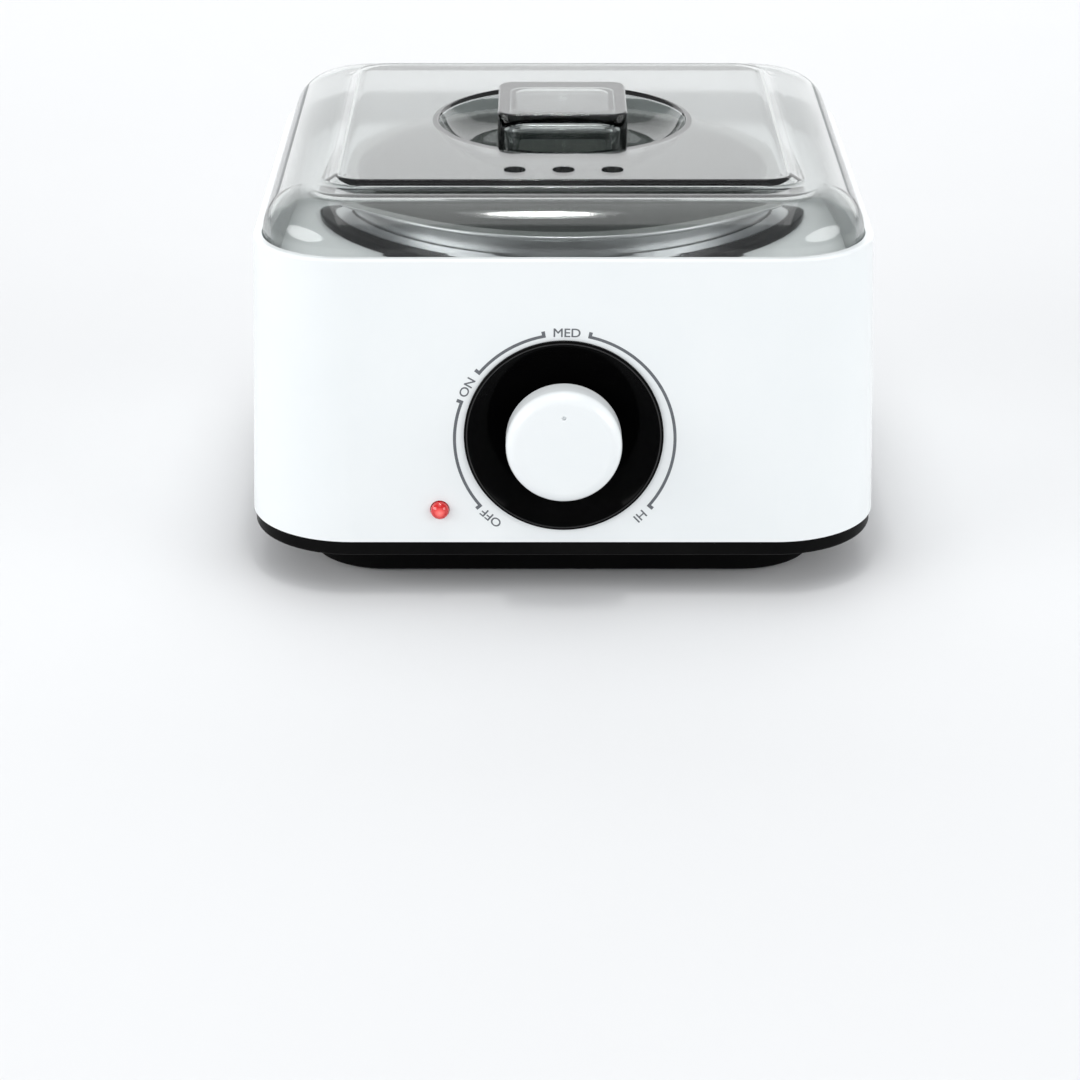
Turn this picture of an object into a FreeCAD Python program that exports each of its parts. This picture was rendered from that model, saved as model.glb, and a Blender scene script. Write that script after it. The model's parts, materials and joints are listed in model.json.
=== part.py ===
import FreeCAD, Part
import Sketcher
import math
import os
import re

# Wax warmer: a square heated housing with a lift-out pot, a clear lid and a front dial.
# Millimetres. +Z is up, the dial faces -Y, and the origin is under the pot's axis on the table.

SIZES = {
    # Housing: a drafted square sleeve, and the deck that lies on a ledge inside it
    "body_width": 180.0,
    "rim_inset": 3.0,
    "corner_radius": 30.0,
    "shell_height": 82.6,
    "shell_wall": 2.3,
    "deck_depth": 10.0,
    "deck_thickness": 2.4,
    "deck_gap": 0.15,
    "ledge_reach": 3.0,
    "ledge_thickness": 2.0,
    "rim_round": 0.9,
    "boss_radius": 4.5,
    "boss_clear": 5.3,
    "pilot_room": 4.5,
    # Base tray: lip, set-back plinth, screw columns and bracket posts
    "plinth_height": 11.2,
    "plinth_inset": 16.7,
    "plinth_corner": 22.0,
    "lip_height": 4.6,
    "lip_inset": 0.6,
    "lip_round": 1.2,
    "tray_wall": 2.4,
    "spigot_height": 4.0,
    "spigot_gap": 0.2,
    "column_radius": 5.0,
    "head_depth": 5.0,
    "post_radius": 4.0,
    "post_height": 15.0,
    # Feet and screws
    "foot_height": 1.0,
    "foot_radius": 6.2,
    "foot_edge": 5.5,
    "foot_round": 0.4,
    "screw_radius": 1.5,
    "screw_length": 18.0,
    "head_radius": 2.9,
    "head_height": 2.0,
    "slot_width": 0.8,
    "slot_depth": 0.9,
    "thread_gap": 0.05,
    "hole_gap": 0.25,
    # Lid: skirt, shoulder, raised panel, dish, hollow handle and vents
    "lid_gap": 0.35,
    "lid_wall": 2.0,
    "lid_rise": 13.8,
    "lid_shoulder": 13.4,
    "panel_margin": 5.95,
    "panel_corner": 8.0,
    "panel_rise": 2.2,
    "panel_round": 0.5,
    "dish_radius": 36.9,
    "dish_curve": 12.9,
    "dish_depth": 9.0,
    "handle_width": 38.0,
    "handle_corner": 4.5,
    "handle_rise": 6.0,
    "handle_wall": 2.4,
    "handle_round": 1.5,
    "vent_radius": 3.0,
    "vent_pitch": 13.7,
    "vent_setback": 54.9,
    # Pot, heating well and the ring round the opening
    "pot_margin": 27.8,
    "pot_wall": 1.3,
    "pot_height": 56.0,
    "pot_round": 6.0,
    "flange_reach": 4.6,
    "flange_thickness": 1.4,
    "pot_gap": 0.7,
    "well_wall": 1.2,
    "well_round": 5.0,
    "well_flange_reach": 3.9,
    "stud_radius": 2.5,
    "stud_length": 13.0,
    "ring_reach": 4.7,
    "ring_height": 2.6,
    "ring_round": 0.8,
    "collar_wall": 1.6,
    "collar_drop": 2.0,
    "seat_gap": 0.3,
    # Heater band and its clamp
    "band_drop": 3.8,
    "band_rise": 13.0,
    "band_thickness": 1.5,
    "band_gap_angle": 18.0,
    "tab_angle": 18.0,
    "band_fit": 0.1,
    "clamp_height": 12.0,
    "clamp_thickness": 0.8,
    "ear_reach": 9.0,
    "bolt_radius": 2.0,
    "bolt_head": 3.4,
    "bolt_head_height": 2.4,
    "bolt_tail": 1.5,
    "bolt_nut_flats": 7.0,
    "bolt_nut_height": 3.2,
    "tab_width": 5.0,
    "tab_thickness": 0.8,
    "tab_length": 8.0,
    "band_tab_length": 10.0,
    # Hold-down bracket under the well
    "strap_span": 60.0,
    "strap_width": 16.0,
    "strap_thickness": 1.5,
    "strap_foot": 15.0,
    "stud_nut_flats": 8.0,
    "stud_nut_height": 4.0,
    "short_screw": 10.0,
    # Dial: bezel bowl, nut, thermostat and its bracket
    "dial_rise": 31.8,
    "bezel_radius": 27.85,
    "bezel_lip": 1.0,
    "bezel_lip_width": 0.95,
    "bezel_overlap": 1.35,
    "bezel_gap": 0.2,
    "bezel_neck": 1.0,
    "bowl_depth": 7.0,
    "bowl_floor": 10.0,
    "bezel_wall": 1.5,
    "bezel_back_reach": 2.0,
    "bush_radius": 5.0,
    "bush_gap": 0.1,
    "nut_flats": 14.0,
    "nut_height": 2.4,
    "bush_stand": 0.4,
    "hat_thickness": 1.2,
    "hat_width": 18.0,
    "hat_clear": 1.5,
    "hat_foot": 8.0,
    "thermostat_width": 30.0,
    "thermostat_height": 22.0,
    "thermostat_depth": 9.5,
    "thermostat_corner": 2.0,
    "thermostat_tab_pitch": 16.0,
    "sensor_width": 10.0,
    "sensor_height": 4.0,
    "sensor_lift": 3.5,
    "sensor_gap": 0.5,
    # Knob and shaft
    "shaft_radius": 3.0,
    "shaft_gap": 0.05,
    "shaft_flat": 0.8,
    "shaft_reach": 7.0,
    "shaft_root": 5.5,
    "hub_radius": 12.5,
    "hub_gap": 0.6,
    "hub_fit": 0.1,
    "nut_room": 0.8,
    "knob_radius": 16.1,
    "knob_wall": 2.0,
    "knob_face": 12.0,
    "knob_back": 2.0,
    "knob_round": 2.6,
    "dot_radius": 0.55,
    "dot_depth": 0.4,
    "dot_offset": 9.2,
    # Indicator lamp
    "lamp_across": 34.8,
    "lamp_rise": 9.8,
    "lamp_radius": 2.6,
    "lamp_gap": 0.15,
    "lamp_stand": 0.3,
    "lamp_dome": 2.4,
    "lamp_flange_reach": 0.6,
    "lamp_flange_thickness": 1.0,
    "lamp_length": 8.0,
    "lamp_clip_wall": 1.3,
    "lamp_clip_length": 3.6,
    "lead_pitch": 2.6,
    "lead_radius": 0.7,
    # Terminal block, fuse and wires
    "block_end": 7.0,
    "block_depth": 18.0,
    "block_height": 13.0,
    "block_gap": 7.6,
    "pole_pitch": 10.0,
    "pole_height": 6.0,
    "terminal_radius": 1.8,
    "terminal_depth": 5.0,
    "wire_radius": 1.1,
    "wire_lead": 11.0,
    "wire_side": 22.0,
    "wire_drop": 10.0,
    "lead_rise": 4.6,
    "fuse_radius": 2.0,
    "fuse_length": 11.0,
    "sleeve_wall": 0.5,
    "sleeve_length": 18.0,
    "sleeve_gap": 0.05,
    "fuse_setback": 24.0,
    "clip_wall": 0.8,
    "clip_width": 6.0,
    "clip_foot": 5.0,
    # Cord gland in the back wall
    "gland_rise": 14.5,
    "gland_bore": 3.6,
    "gland_wall": 1.8,
    "gland_flange_reach": 2.1,
    "gland_flange_thickness": 3.0,
    "gland_tail": 4.0,
    # Every cut runs this far past the face that it opens
    "overrun": 1.0,
}

# Share of the shorter run that each bend of a wire takes up
BEND_SHARE = 0.45
QUARTER_TURN = 90
SAME_LEVEL = 1e-4

doc = FreeCAD.newDocument("wax_warmer")
sizes = doc.addObject("Spreadsheet::Sheet", "sizes")
for row, (alias, number) in enumerate(SIZES.items(), start=1):
    sizes.set(f"A{row}", alias)
    sizes.set(f"B{row}", str(number))
    sizes.setAlias(f"B{row}", alias)
doc.recompute()

WORD = re.compile(r"[a-z_]+")


def cells(expression):
    """Points each alias in an expression at its cell of the sheet."""
    def cell(word):
        return "sizes." + word.group() if word.group() in SIZES else word.group()
    return WORD.sub(cell, str(expression))


def measure(expression):
    """The value that an expression has now."""
    result = sizes.evalExpression(cells(expression))
    return float(getattr(result, "Value", result))


def bind(thing, path, expression):
    thing.setExpression(path, cells(expression))


# Levels and widths that several pieces share
plinth_z = "foot_height"
floor_z = "(foot_height + tray_wall)"
lip_z = "(foot_height + plinth_height)"
shell_z = f"({lip_z} + lip_height)"
rim_z = f"({shell_z} + shell_height)"
deck_z = f"({rim_z} - deck_depth)"
dial_height = f"({shell_z} + dial_rise)"
lamp_height = f"({shell_z} + lamp_rise)"
gland_height = f"({shell_z} + gland_rise)"
slope = "(rim_inset / shell_height)"
draft = f"atan({slope})"
recess_width = "(body_width - 2 * rim_inset - 2 * shell_wall)"
recess_corner = "(corner_radius - rim_inset - shell_wall)"
ledge_z = f"({deck_z} - deck_thickness)"
cavity_top = f"({ledge_z} - ledge_thickness)"
plinth_width = "(body_width - 2 * plinth_inset)"
pilot_radius = "(screw_radius + thread_gap)"
clear_radius = "(screw_radius + hole_gap)"
head_top = f"({plinth_z} + head_depth)"
screw_top = f"({head_top} + screw_length)"

# Radii from the pot outwards: pot, well, collar of the ring, heater band and its clamp
pot_radius = "(body_width / 2 - pot_margin)"
flange_radius = f"({pot_radius} + flange_reach)"
well_inner = f"({pot_radius} + pot_gap)"
well_outer = f"({well_inner} + well_wall)"
well_flange = f"({well_outer} + well_flange_reach)"
collar_inner = f"({well_outer} + seat_gap)"
collar_outer = f"({collar_inner} + collar_wall)"
ring_radius = f"({well_flange} + seat_gap + ring_reach)"
band_inner = f"({well_outer} + band_fit)"
band_outer = f"({band_inner} + band_thickness)"
clamp_inner = f"({band_outer} + band_fit)"
clamp_outer = f"({clamp_inner} + clamp_thickness)"
screw_pitch = f"(({clamp_outer} + boss_clear + boss_radius) * sqrt(2))"
dial_hole = "(bezel_radius - bezel_overlap)"
gland_neck = "(gland_bore + gland_wall)"


def drafted_width(height):
    """Outside width of the drafted housing at a height."""
    return f"(body_width - 2 * ({height} - {shell_z}) * {slope})"


# Sketching and solid helpers

def flat_sketch(body, name, role, lift=None):
    sketch = body.newObject("Sketcher::SketchObject", name)
    plane = next(part for part in body.Origin.OriginFeatures if part.Role == role)
    sketch.AttachmentSupport = [(plane, "")]
    sketch.MapMode = "FlatFace"
    if lift is not None:
        bind(sketch, "AttachmentOffset.Base.z", lift)
    return sketch


def hold(sketch, kind, geometry, point, expression):
    """Fixes one coordinate of a point of the sketch to an expression."""
    rule = Sketcher.Constraint(kind, -1, 1, geometry, point, measure(expression))
    bind(sketch, f"Constraints[{sketch.addConstraint(rule)}]", expression)


def draw(sketch, outline):
    """Draws a closed outline of corners (across, up). A corner that carries a centre and a turn,
    +1 for anticlockwise, is reached by an arc about that centre."""
    spots = [FreeCAD.Vector(measure(corner[0]), measure(corner[1])) for corner in outline]
    starts, ends = [], []
    for index, corner in enumerate(outline):
        begin, finish = spots[index - 1], spots[index]
        if len(corner) == 2:
            side = Part.LineSegment(begin, finish)
            first, last = 1, 2
        else:
            centre = FreeCAD.Vector(measure(corner[2]), measure(corner[3]))
            first, last = (1, 2) if corner[4] > 0 else (2, 1)
            low, high = (begin, finish) if corner[4] > 0 else (finish, begin)
            circle = Part.Circle(centre, FreeCAD.Vector(0, 0, 1), (begin - centre).Length)
            low_angle = math.atan2(low.y - centre.y, low.x - centre.x)
            high_angle = math.atan2(high.y - centre.y, high.x - centre.x)
            side = Part.ArcOfCircle(circle, low_angle, high_angle)
        geometry = sketch.addGeometry(side, False)
        starts.append((geometry, first))
        ends.append((geometry, last))
    for index, corner in enumerate(outline):
        following = starts[(index + 1) % len(outline)]
        sketch.addConstraint(Sketcher.Constraint("Coincident", *ends[index], *following))
        hold(sketch, "DistanceX", *ends[index], corner[0])
        hold(sketch, "DistanceY", *ends[index], corner[1])
        if len(corner) > 2:
            chord = spots[index] - spots[index - 1]
            if abs(chord.y) >= abs(chord.x):
                hold(sketch, "DistanceX", ends[index][0], 3, corner[2])
            else:
                hold(sketch, "DistanceY", ends[index][0], 3, corner[3])


def rectangle(width, depth, across=0, up=0):
    left, right = f"({across} - {width} / 2)", f"({across} + {width} / 2)"
    low, high = f"({up} - {depth} / 2)", f"({up} + {depth} / 2)"
    return [(left, low), (right, low), (right, high), (left, high)]


def rounded_square(width, radius, depth=None):
    """A rectangle about the origin with round corners, anticlockwise from its front left."""
    far, deep = f"({width} / 2)", f"({depth or width} / 2)"
    near, shallow = f"({far} - {radius})", f"({deep} - {radius})"
    return [
        (f"-{near}", f"-{deep}", f"-{near}", f"-{shallow}", 1),
        (near, f"-{deep}"),
        (far, f"-{shallow}", near, f"-{shallow}", 1),
        (far, shallow),
        (near, deep, near, shallow, 1),
        (f"-{near}", deep),
        (f"-{far}", shallow, f"-{near}", shallow, 1),
        (f"-{far}", f"-{shallow}"),
    ]


def padded(label, outline, bottom, height, taper=None, role="XY_Plane"):
    """A body that raises an outline from a level, with draft where a taper is given."""
    body = doc.addObject("PartDesign::Body", label)
    sketch = flat_sketch(body, label + "_outline", role, bottom)
    draw(sketch, outline)
    add_pad(body, sketch, label + "_pad", height, taper)
    return body


def add_pad(body, sketch, name, height, taper=None):
    pad = body.newObject("PartDesign::Pad", name)
    pad.Profile = sketch
    bind(pad, "Length", height)
    if taper is not None:
        bind(pad, "TaperAngle", taper)


def turned(label, outline, sweep=None):
    """A body that turns an outline of (radius, height) about its own Z axis."""
    body = doc.addObject("PartDesign::Body", label)
    sketch = flat_sketch(body, label + "_outline", "XZ_Plane")
    draw(sketch, outline)
    lathe = body.newObject("PartDesign::Revolution", label + "_lathe")
    lathe.Profile = sketch
    lathe.ReferenceAxis = (sketch, ["V_Axis"])
    if sweep is not None:
        bind(lathe, "Angle", sweep)
    return body


def tube(label, inner, outer, low, high):
    return turned(label, [(inner, low), (outer, low), (outer, high), (inner, high)])


def rod(label, radius, low, high):
    return tube(label, 0, radius, low, high)


def rounded_top(body, name, radius, level):
    """Rounds every edge of a body that lies at one level."""
    doc.recompute()
    height = measure(level)
    solid = body.Tip
    names = []
    for index, edge in enumerate(solid.Shape.Edges, start=1):
        if all(abs(vertex.Z - height) < SAME_LEVEL for vertex in edge.Vertexes):
            names.append(f"Edge{index}")
    fillet = body.newObject("PartDesign::Fillet", name)
    fillet.Base = (solid, names)
    bind(fillet, "Radius", radius)


def seat(thing, across=0, along=0, up=0):
    for path, expression in (("x", across), ("y", along), ("z", up)):
        bind(thing, f"Placement.Base.{path}", expression)
    return thing


def turn(thing, axis, angle):
    """Turns a piece about an axis through its own origin."""
    spin = FreeCAD.Rotation(FreeCAD.Vector(*axis), QUARTER_TURN)
    thing.Placement = FreeCAD.Placement(FreeCAD.Vector(), spin)
    bind(thing, "Placement.Rotation.Angle", angle)
    return thing


def seat_on_wall(thing, side, across, height):
    """Stands a piece's own Z axis square on the drafted front (-1) or back (+1) wall."""
    turn(thing, (1, 0, 0), f"{-side} * ({QUARTER_TURN} deg - {draft})")
    return seat(thing, across, f"{side} * {drafted_width(height)} / 2", height)


def on_dial(thing):
    return seat_on_wall(thing, -1, 0, dial_height)


def on_lamp(thing):
    return seat_on_wall(thing, -1, "-lamp_across", lamp_height)


def on_gland(thing):
    return seat_on_wall(thing, 1, 0, gland_height)


def fuse(label, *pieces):
    whole = doc.addObject("Part::MultiFuse", label)
    whole.Shapes = list(pieces)
    return whole


def cut(label, solid, *tools):
    rest = doc.addObject("Part::Cut", label)
    rest.Base = solid
    rest.Tool = tools[0] if len(tools) == 1 else fuse(label + "_tools", *tools)
    return rest


def group(label, *pieces):
    whole = doc.addObject("Part::Compound", label)
    whole.Links = list(pieces)
    return whole


CORNERS = [(-1, -1), (1, -1), (1, 1), (-1, 1)]


def at_corners(label, make, pitch):
    """Four like pieces, one at each corner of a square."""
    return [
        seat(make(f"{label}_{index}"), f"{across} * {pitch} / 2", f"{along} * {pitch} / 2")
        for index, (across, along) in enumerate(CORNERS, start=1)
    ]


# Housing: sleeve, recess for the deck and the lid, ledge, cavity and the holes in its walls
sleeve = padded(
    "sleeve", rounded_square("body_width", "corner_radius"), shell_z, "shell_height", f"-{draft}"
)
rounded_top(sleeve, "sleeve_rim", "rim_round", rim_z)
recess = padded(
    "recess", rounded_square(recess_width, recess_corner), ledge_z, f"{rim_z} - {ledge_z} + overrun"
)
ledge_opening = padded(
    "ledge_opening",
    rounded_square(f"({recess_width} - 2 * ledge_reach)", f"({recess_corner} - ledge_reach)"),
    f"{cavity_top} - overrun", "ledge_thickness + 2 * overrun",
)
cavity = padded(
    "cavity",
    rounded_square("(body_width - 2 * shell_wall)", "(corner_radius - shell_wall)"),
    shell_z, f"{cavity_top} - {shell_z}", f"-{draft}",
)
wall_span = ("-shell_wall - overrun", "shell_wall + overrun")
dial_opening = on_dial(rod("dial_opening", dial_hole, *wall_span))
lamp_opening = on_lamp(rod("lamp_opening", "lamp_radius + lamp_gap", *wall_span))
gland_opening = on_gland(rod("gland_opening", f"{gland_neck} + hole_gap", *wall_span))
housing = cut("housing", sleeve, recess, ledge_opening, cavity, dial_opening, lamp_opening, gland_opening)

# Deck: a plate with the pot's opening, and the bosses by which the base's screws pull it onto the ledge
deck_plate = padded(
    "deck_plate", rounded_square(f"({recess_width} - 2 * deck_gap)", f"({recess_corner} - deck_gap)"),
    ledge_z, "deck_thickness",
)
opening = rod("opening", f"{collar_outer} + hole_gap", f"{ledge_z} - overrun", f"{deck_z} + overrun")


def boss(label):
    return rod(label, "boss_radius", shell_z, f"{deck_z} - deck_thickness / 2")


def pilot(label):
    return rod(label, pilot_radius, f"{shell_z} - overrun", f"{screw_top} + pilot_room")


bossed = fuse("bossed_deck", cut("open_deck", deck_plate, opening), *at_corners("boss", boss, screw_pitch))
top_deck = cut("top_deck", bossed, *at_corners("pilot", pilot, screw_pitch))

# Base tray: lip with a spigot inside the housing, set-back plinth, columns and posts
lip_width = "(body_width - 2 * lip_inset)"
lip_corner = "(corner_radius - lip_inset)"
spigot_width = "(body_width - 2 * shell_wall - 2 * spigot_gap)"
spigot_corner = "(corner_radius - shell_wall - spigot_gap)"
post_top = f"({floor_z} + post_height)"
leg = "(strap_span / 2)"
leg_out = f"({leg} + strap_thickness)"
foot_out = f"({leg} + strap_foot)"

lip = padded("lip", rounded_square(lip_width, lip_corner), lip_z, "lip_height")
rounded_top(lip, "lip_edge", "lip_round", lip_z)
spigot = padded(
    "spigot", rounded_square(spigot_width, spigot_corner),
    f"{shell_z} - tray_wall", "tray_wall + spigot_height", f"-{draft}",
)
plinth = padded(
    "plinth", rounded_square(plinth_width, "plinth_corner"), plinth_z, "plinth_height + tray_wall"
)
lip_hollow = padded(
    "lip_hollow", rounded_square(f"({spigot_width} - 2 * tray_wall)", f"({spigot_corner} - tray_wall)"),
    f"{lip_z} + tray_wall", "lip_height + spigot_height", f"-{draft}",
)
plinth_hollow = padded(
    "plinth_hollow", rounded_square(f"({plinth_width} - 2 * tray_wall)", "(plinth_corner - tray_wall)"),
    floor_z, "plinth_height + overrun",
)


def column(label):
    return rod(label, "column_radius", f"{floor_z} - tray_wall / 2", shell_z)


def column_hole(label):
    return rod(label, clear_radius, f"{plinth_z} - overrun", f"{shell_z} + overrun")


def head_hole(label):
    return rod(label, "head_radius + hole_gap", f"{plinth_z} - overrun", head_top)


def across_pair(label, make):
    """Two like pieces at the bracket's posts, left and right."""
    return [
        seat(make(f"{label}_{index}"), f"{side} * ({leg_out} + {foot_out}) / 2")
        for index, side in enumerate((-1, 1), start=1)
    ]


def post(label):
    return rod(label, "post_radius", f"{floor_z} - tray_wall / 2", post_top)


def post_hole(label):
    return rod(label, pilot_radius, f"{post_top} - short_screw", f"{post_top} + overrun")


tray_shell = cut("tray_shell", fuse("tray_blank", lip, spigot, plinth), lip_hollow, plinth_hollow)
tray_columns = fuse(
    "tray_columns", tray_shell, *at_corners("column", column, screw_pitch), *across_pair("post", post)
)
base_tray = cut(
    "base_tray", tray_columns,
    *at_corners("column_hole", column_hole, screw_pitch),
    *at_corners("head_hole", head_hole, screw_pitch),
    *across_pair("post_hole", post_hole),
)


# Feet and the screws that hold the tray to the deck's bosses
def foot(label):
    flat = "(foot_radius - foot_round)"
    return turned(label, [
        (0, 0),
        (flat, 0),
        ("foot_radius", "foot_round", flat, "foot_round", 1),
        ("foot_radius", "foot_height"),
        (0, "foot_height"),
    ])


foot_pitch = f"({plinth_width} - 2 * foot_edge - 2 * foot_radius)"
feet = group("feet", *at_corners("foot", foot, foot_pitch))


def upward_screw(label):
    """A pan head under its seat, with the shank pointing up and a slot across the head."""
    head_low = f"({head_top} - head_height)"
    blank = turned(label + "_blank", [
        (0, head_low),
        ("head_radius", head_low),
        ("head_radius", head_top),
        ("screw_radius", head_top),
        ("screw_radius", screw_top),
        (0, screw_top),
    ])
    slot = padded(
        label + "_slot", rectangle("(2 * head_radius + overrun)", "slot_width"),
        f"{head_low} - overrun", "slot_depth + overrun",
    )
    return cut(label, blank, slot)


base_screws = group("base_screws", *at_corners("base_screw", upward_screw, screw_pitch))

# Lid: one clear moulding
lid_width = f"({recess_width} - 2 * lid_gap)"
lid_corner = f"({recess_corner} - lid_gap)"
lid_top = f"({rim_z} + lid_rise)"
panel_top = f"({lid_top} + panel_rise)"
handle_top = f"({panel_top} + handle_rise)"
dish_z = f"({panel_top} - dish_depth)"
dish_floor = "(dish_radius - dish_curve)"
dish_arc = "((dish_curve ^ 2 + dish_depth ^ 2) / 2 / dish_depth)"
dish_centre = f"({dish_z} + {dish_arc})"
cup_arc = f"({dish_arc} + lid_wall)"
cup_edge = f"({dish_floor} + sqrt({cup_arc} ^ 2 - ({panel_top} - {dish_centre}) ^ 2))"

lid_block = padded("lid_block", rounded_square(lid_width, lid_corner), deck_z, f"{lid_top} - {deck_z}")
rounded_top(lid_block, "lid_block_shoulder", "lid_shoulder", lid_top)
panel = flat_sketch(lid_block, "panel_outline", "XY_Plane", lid_top)
panel_width = f"({lid_width} - 2 * lid_shoulder - 2 * panel_margin)"
draw(panel, rounded_square(panel_width, "panel_corner"))
add_pad(lid_block, panel, "panel", "panel_rise")
rounded_top(lid_block, "panel_edge", "panel_round", panel_top)

lid_core = padded(
    "lid_core", rounded_square(f"({lid_width} - 2 * lid_wall)", f"({lid_corner} - lid_wall)"),
    f"{deck_z} - overrun", f"{lid_top} - lid_wall - {deck_z} + overrun",
)
rounded_top(lid_core, "lid_core_shoulder", "lid_shoulder - lid_wall", f"{lid_top} - lid_wall")
dish_cup = turned("dish_cup", [
    (0, f"{dish_z} - lid_wall"),
    (dish_floor, f"{dish_z} - lid_wall"),
    (cup_edge, panel_top, dish_floor, dish_centre, 1),
    (0, panel_top),
])
dish = turned("dish", [
    (0, dish_z),
    (dish_floor, dish_z),
    ("dish_radius", panel_top, dish_floor, dish_centre, 1),
    ("dish_radius", f"{panel_top} + overrun"),
    (0, f"{panel_top} + overrun"),
])
handle = padded(
    "handle", rounded_square("handle_width", "handle_corner"),
    f"{dish_z} - lid_wall / 2", f"{handle_top} - {dish_z} + lid_wall / 2",
)
rounded_top(handle, "handle_edge", "handle_round", handle_top)
handle_core = padded(
    "handle_core", rounded_square("(handle_width - 2 * handle_wall)", "(handle_corner - handle_wall)"),
    f"{dish_z} - lid_wall - overrun", f"{handle_top} - handle_wall - {dish_z} + lid_wall + overrun",
)
vents = []
vent_low = f"({lid_top} - lid_wall - overrun)"
for index in (-1, 0, 1):
    vent = rod(f"vent_{index + 2}", "vent_radius", vent_low, f"{panel_top} + overrun")
    vents.append(seat(vent, f"{index} * vent_pitch", "-vent_setback"))
lid_shell = cut("lid_shell", lid_block, cut("lid_hollow", lid_core, dish_cup))
lid_with_handle = fuse("lid_with_handle", cut("dished_lid", lid_shell, dish), handle)
lid = cut("lid", lid_with_handle, handle_core, *vents)

# Pot: rests on the floor of the well, with its flange level with the housing's rim
pot_z = f"({rim_z} - pot_height)"
pot_inner = f"({pot_radius} - pot_wall)"
pot_floor = f"({pot_radius} - pot_round)"
flange_edge = f"({flange_radius} - flange_thickness / 2)"
pot = turned("pot", [
    (0, pot_z),
    (pot_floor, pot_z),
    (pot_radius, f"{pot_z} + pot_round", pot_floor, f"{pot_z} + pot_round", 1),
    (pot_radius, f"{rim_z} - flange_thickness"),
    (flange_edge, f"{rim_z} - flange_thickness"),
    (flange_edge, rim_z, flange_edge, f"{rim_z} - flange_thickness / 2", 1),
    (pot_inner, rim_z),
    (pot_inner, f"{pot_z} + pot_round"),
    (pot_floor, f"{pot_z} + pot_wall", pot_floor, f"{pot_z} + pot_round", -1),
    (0, f"{pot_z} + pot_wall"),
])

# Ring round the opening, and the heated well that hangs in it
ring_top = f"({deck_z} + ring_height)"
ring_seat = f"({ring_top} - well_wall)"
well_floor = f"({pot_z} - well_wall)"
collar_low = f"({ledge_z} - collar_drop)"
ring_edge = f"({ring_radius} - ring_round)"
well_ring = turned("well_ring", [
    (collar_inner, collar_low),
    (collar_outer, collar_low),
    (collar_outer, deck_z),
    (ring_radius, deck_z),
    (ring_radius, f"{ring_top} - ring_round"),
    (ring_edge, ring_top, ring_edge, f"{ring_top} - ring_round", 1),
    (f"{well_flange} + seat_gap", ring_top),
    (f"{well_flange} + seat_gap", ring_seat),
    (collar_inner, ring_seat),
])
well_bend = f"({well_inner} - well_round)"
heating_well = turned("heating_well", [
    (0, f"{well_floor} - stud_length"),
    ("stud_radius", f"{well_floor} - stud_length"),
    ("stud_radius", well_floor),
    (well_bend, well_floor),
    (well_outer, f"{pot_z} + well_round", well_bend, f"{pot_z} + well_round", 1),
    (well_outer, ring_seat),
    (well_flange, ring_seat),
    (well_flange, ring_top),
    (well_inner, ring_top),
    (well_inner, f"{pot_z} + well_round"),
    (well_bend, pot_z, well_bend, f"{pot_z} + well_round", -1),
    (0, pot_z),
])

# Heater band round the well, open at the back, with its clamp, bolt, nut and two tabs
band_z = f"({well_floor} + band_rise)"
band_height = f"({collar_low} - band_drop - {band_z})"
clamp_z = f"({band_z} + ({band_height} - clamp_height) / 2)"
ear_x = f"({clamp_inner} * sin(band_gap_angle / 2) + clamp_thickness / 2)"
ear_y = f"({clamp_inner} * cos(band_gap_angle / 2))"
bolt_y = f"({clamp_outer} + ear_reach / 2)"
bolt_z = f"({clamp_z} + clamp_height / 2)"
grip = f"({ear_x} + clamp_thickness / 2)"


def open_ring(label, inner, outer, low, height):
    """A ring with a gap at the back."""
    outline = [(inner, low), (outer, low), (outer, f"{low} + {height}"), (inner, f"{low} + {height}")]
    ring = turned(label, outline, f"4 * {QUARTER_TURN} - band_gap_angle")
    return turn(ring, (0, 0, 1), f"({QUARTER_TURN} + band_gap_angle / 2) * 1 deg")


def along_x(thing, along, up):
    """Lays a piece's own Z axis along +X."""
    return seat(turn(thing, (0, 1, 0), f"{QUARTER_TURN} deg"), 0, along, up)


band_tabs = []
ears = []
for index, side in enumerate((-1, 1), start=1):
    tab = padded(
        f"band_tab_{index}",
        rectangle("tab_width", "tab_thickness", 0, f"{band_inner} + band_thickness / 2"),
        f"{band_z} - band_tab_length", "band_tab_length + tab_width / 2",
    )
    band_tabs.append(turn(tab, (0, 0, 1), f"{-side} * tab_angle * 1 deg"))
    ear_depth = f"({clamp_outer} + ear_reach - {ear_y})"
    ear_outline = rectangle(
        "clamp_thickness", ear_depth, f"{side} * {ear_x}", f"{ear_y} + {ear_depth} / 2"
    )
    ears.append(padded(f"clamp_ear_{index}", ear_outline, clamp_z, "clamp_height"))
band_ring = open_ring("band_ring", band_inner, band_outer, band_z, band_height)
heater_band = fuse("heater_band", band_ring, *band_tabs)
clamp_ring = open_ring("clamp_ring", clamp_inner, clamp_outer, clamp_z, "clamp_height")
ear_hole = along_x(
    rod("ear_hole", "bolt_radius + hole_gap", f"-{grip} - overrun", f"{grip} + overrun"), bolt_y, bolt_z
)
band_clamp = cut("band_clamp", fuse("clamp_blank", clamp_ring, *ears), ear_hole)
clamp_bolt = along_x(turned("clamp_bolt", [
    (0, f"-{grip} - bolt_head_height"),
    ("bolt_head", f"-{grip} - bolt_head_height"),
    ("bolt_head", f"-{grip}"),
    ("bolt_radius", f"-{grip}"),
    ("bolt_radius", f"{grip} + bolt_nut_height + bolt_tail"),
    (0, f"{grip} + bolt_nut_height + bolt_tail"),
]), bolt_y, bolt_z)


def hexagon(flats):
    corner = f"{flats} / sqrt(3)"
    return [(f"{corner} * cos({k} * 60)", f"{corner} * sin({k} * 60)") for k in range(6)]


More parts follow.
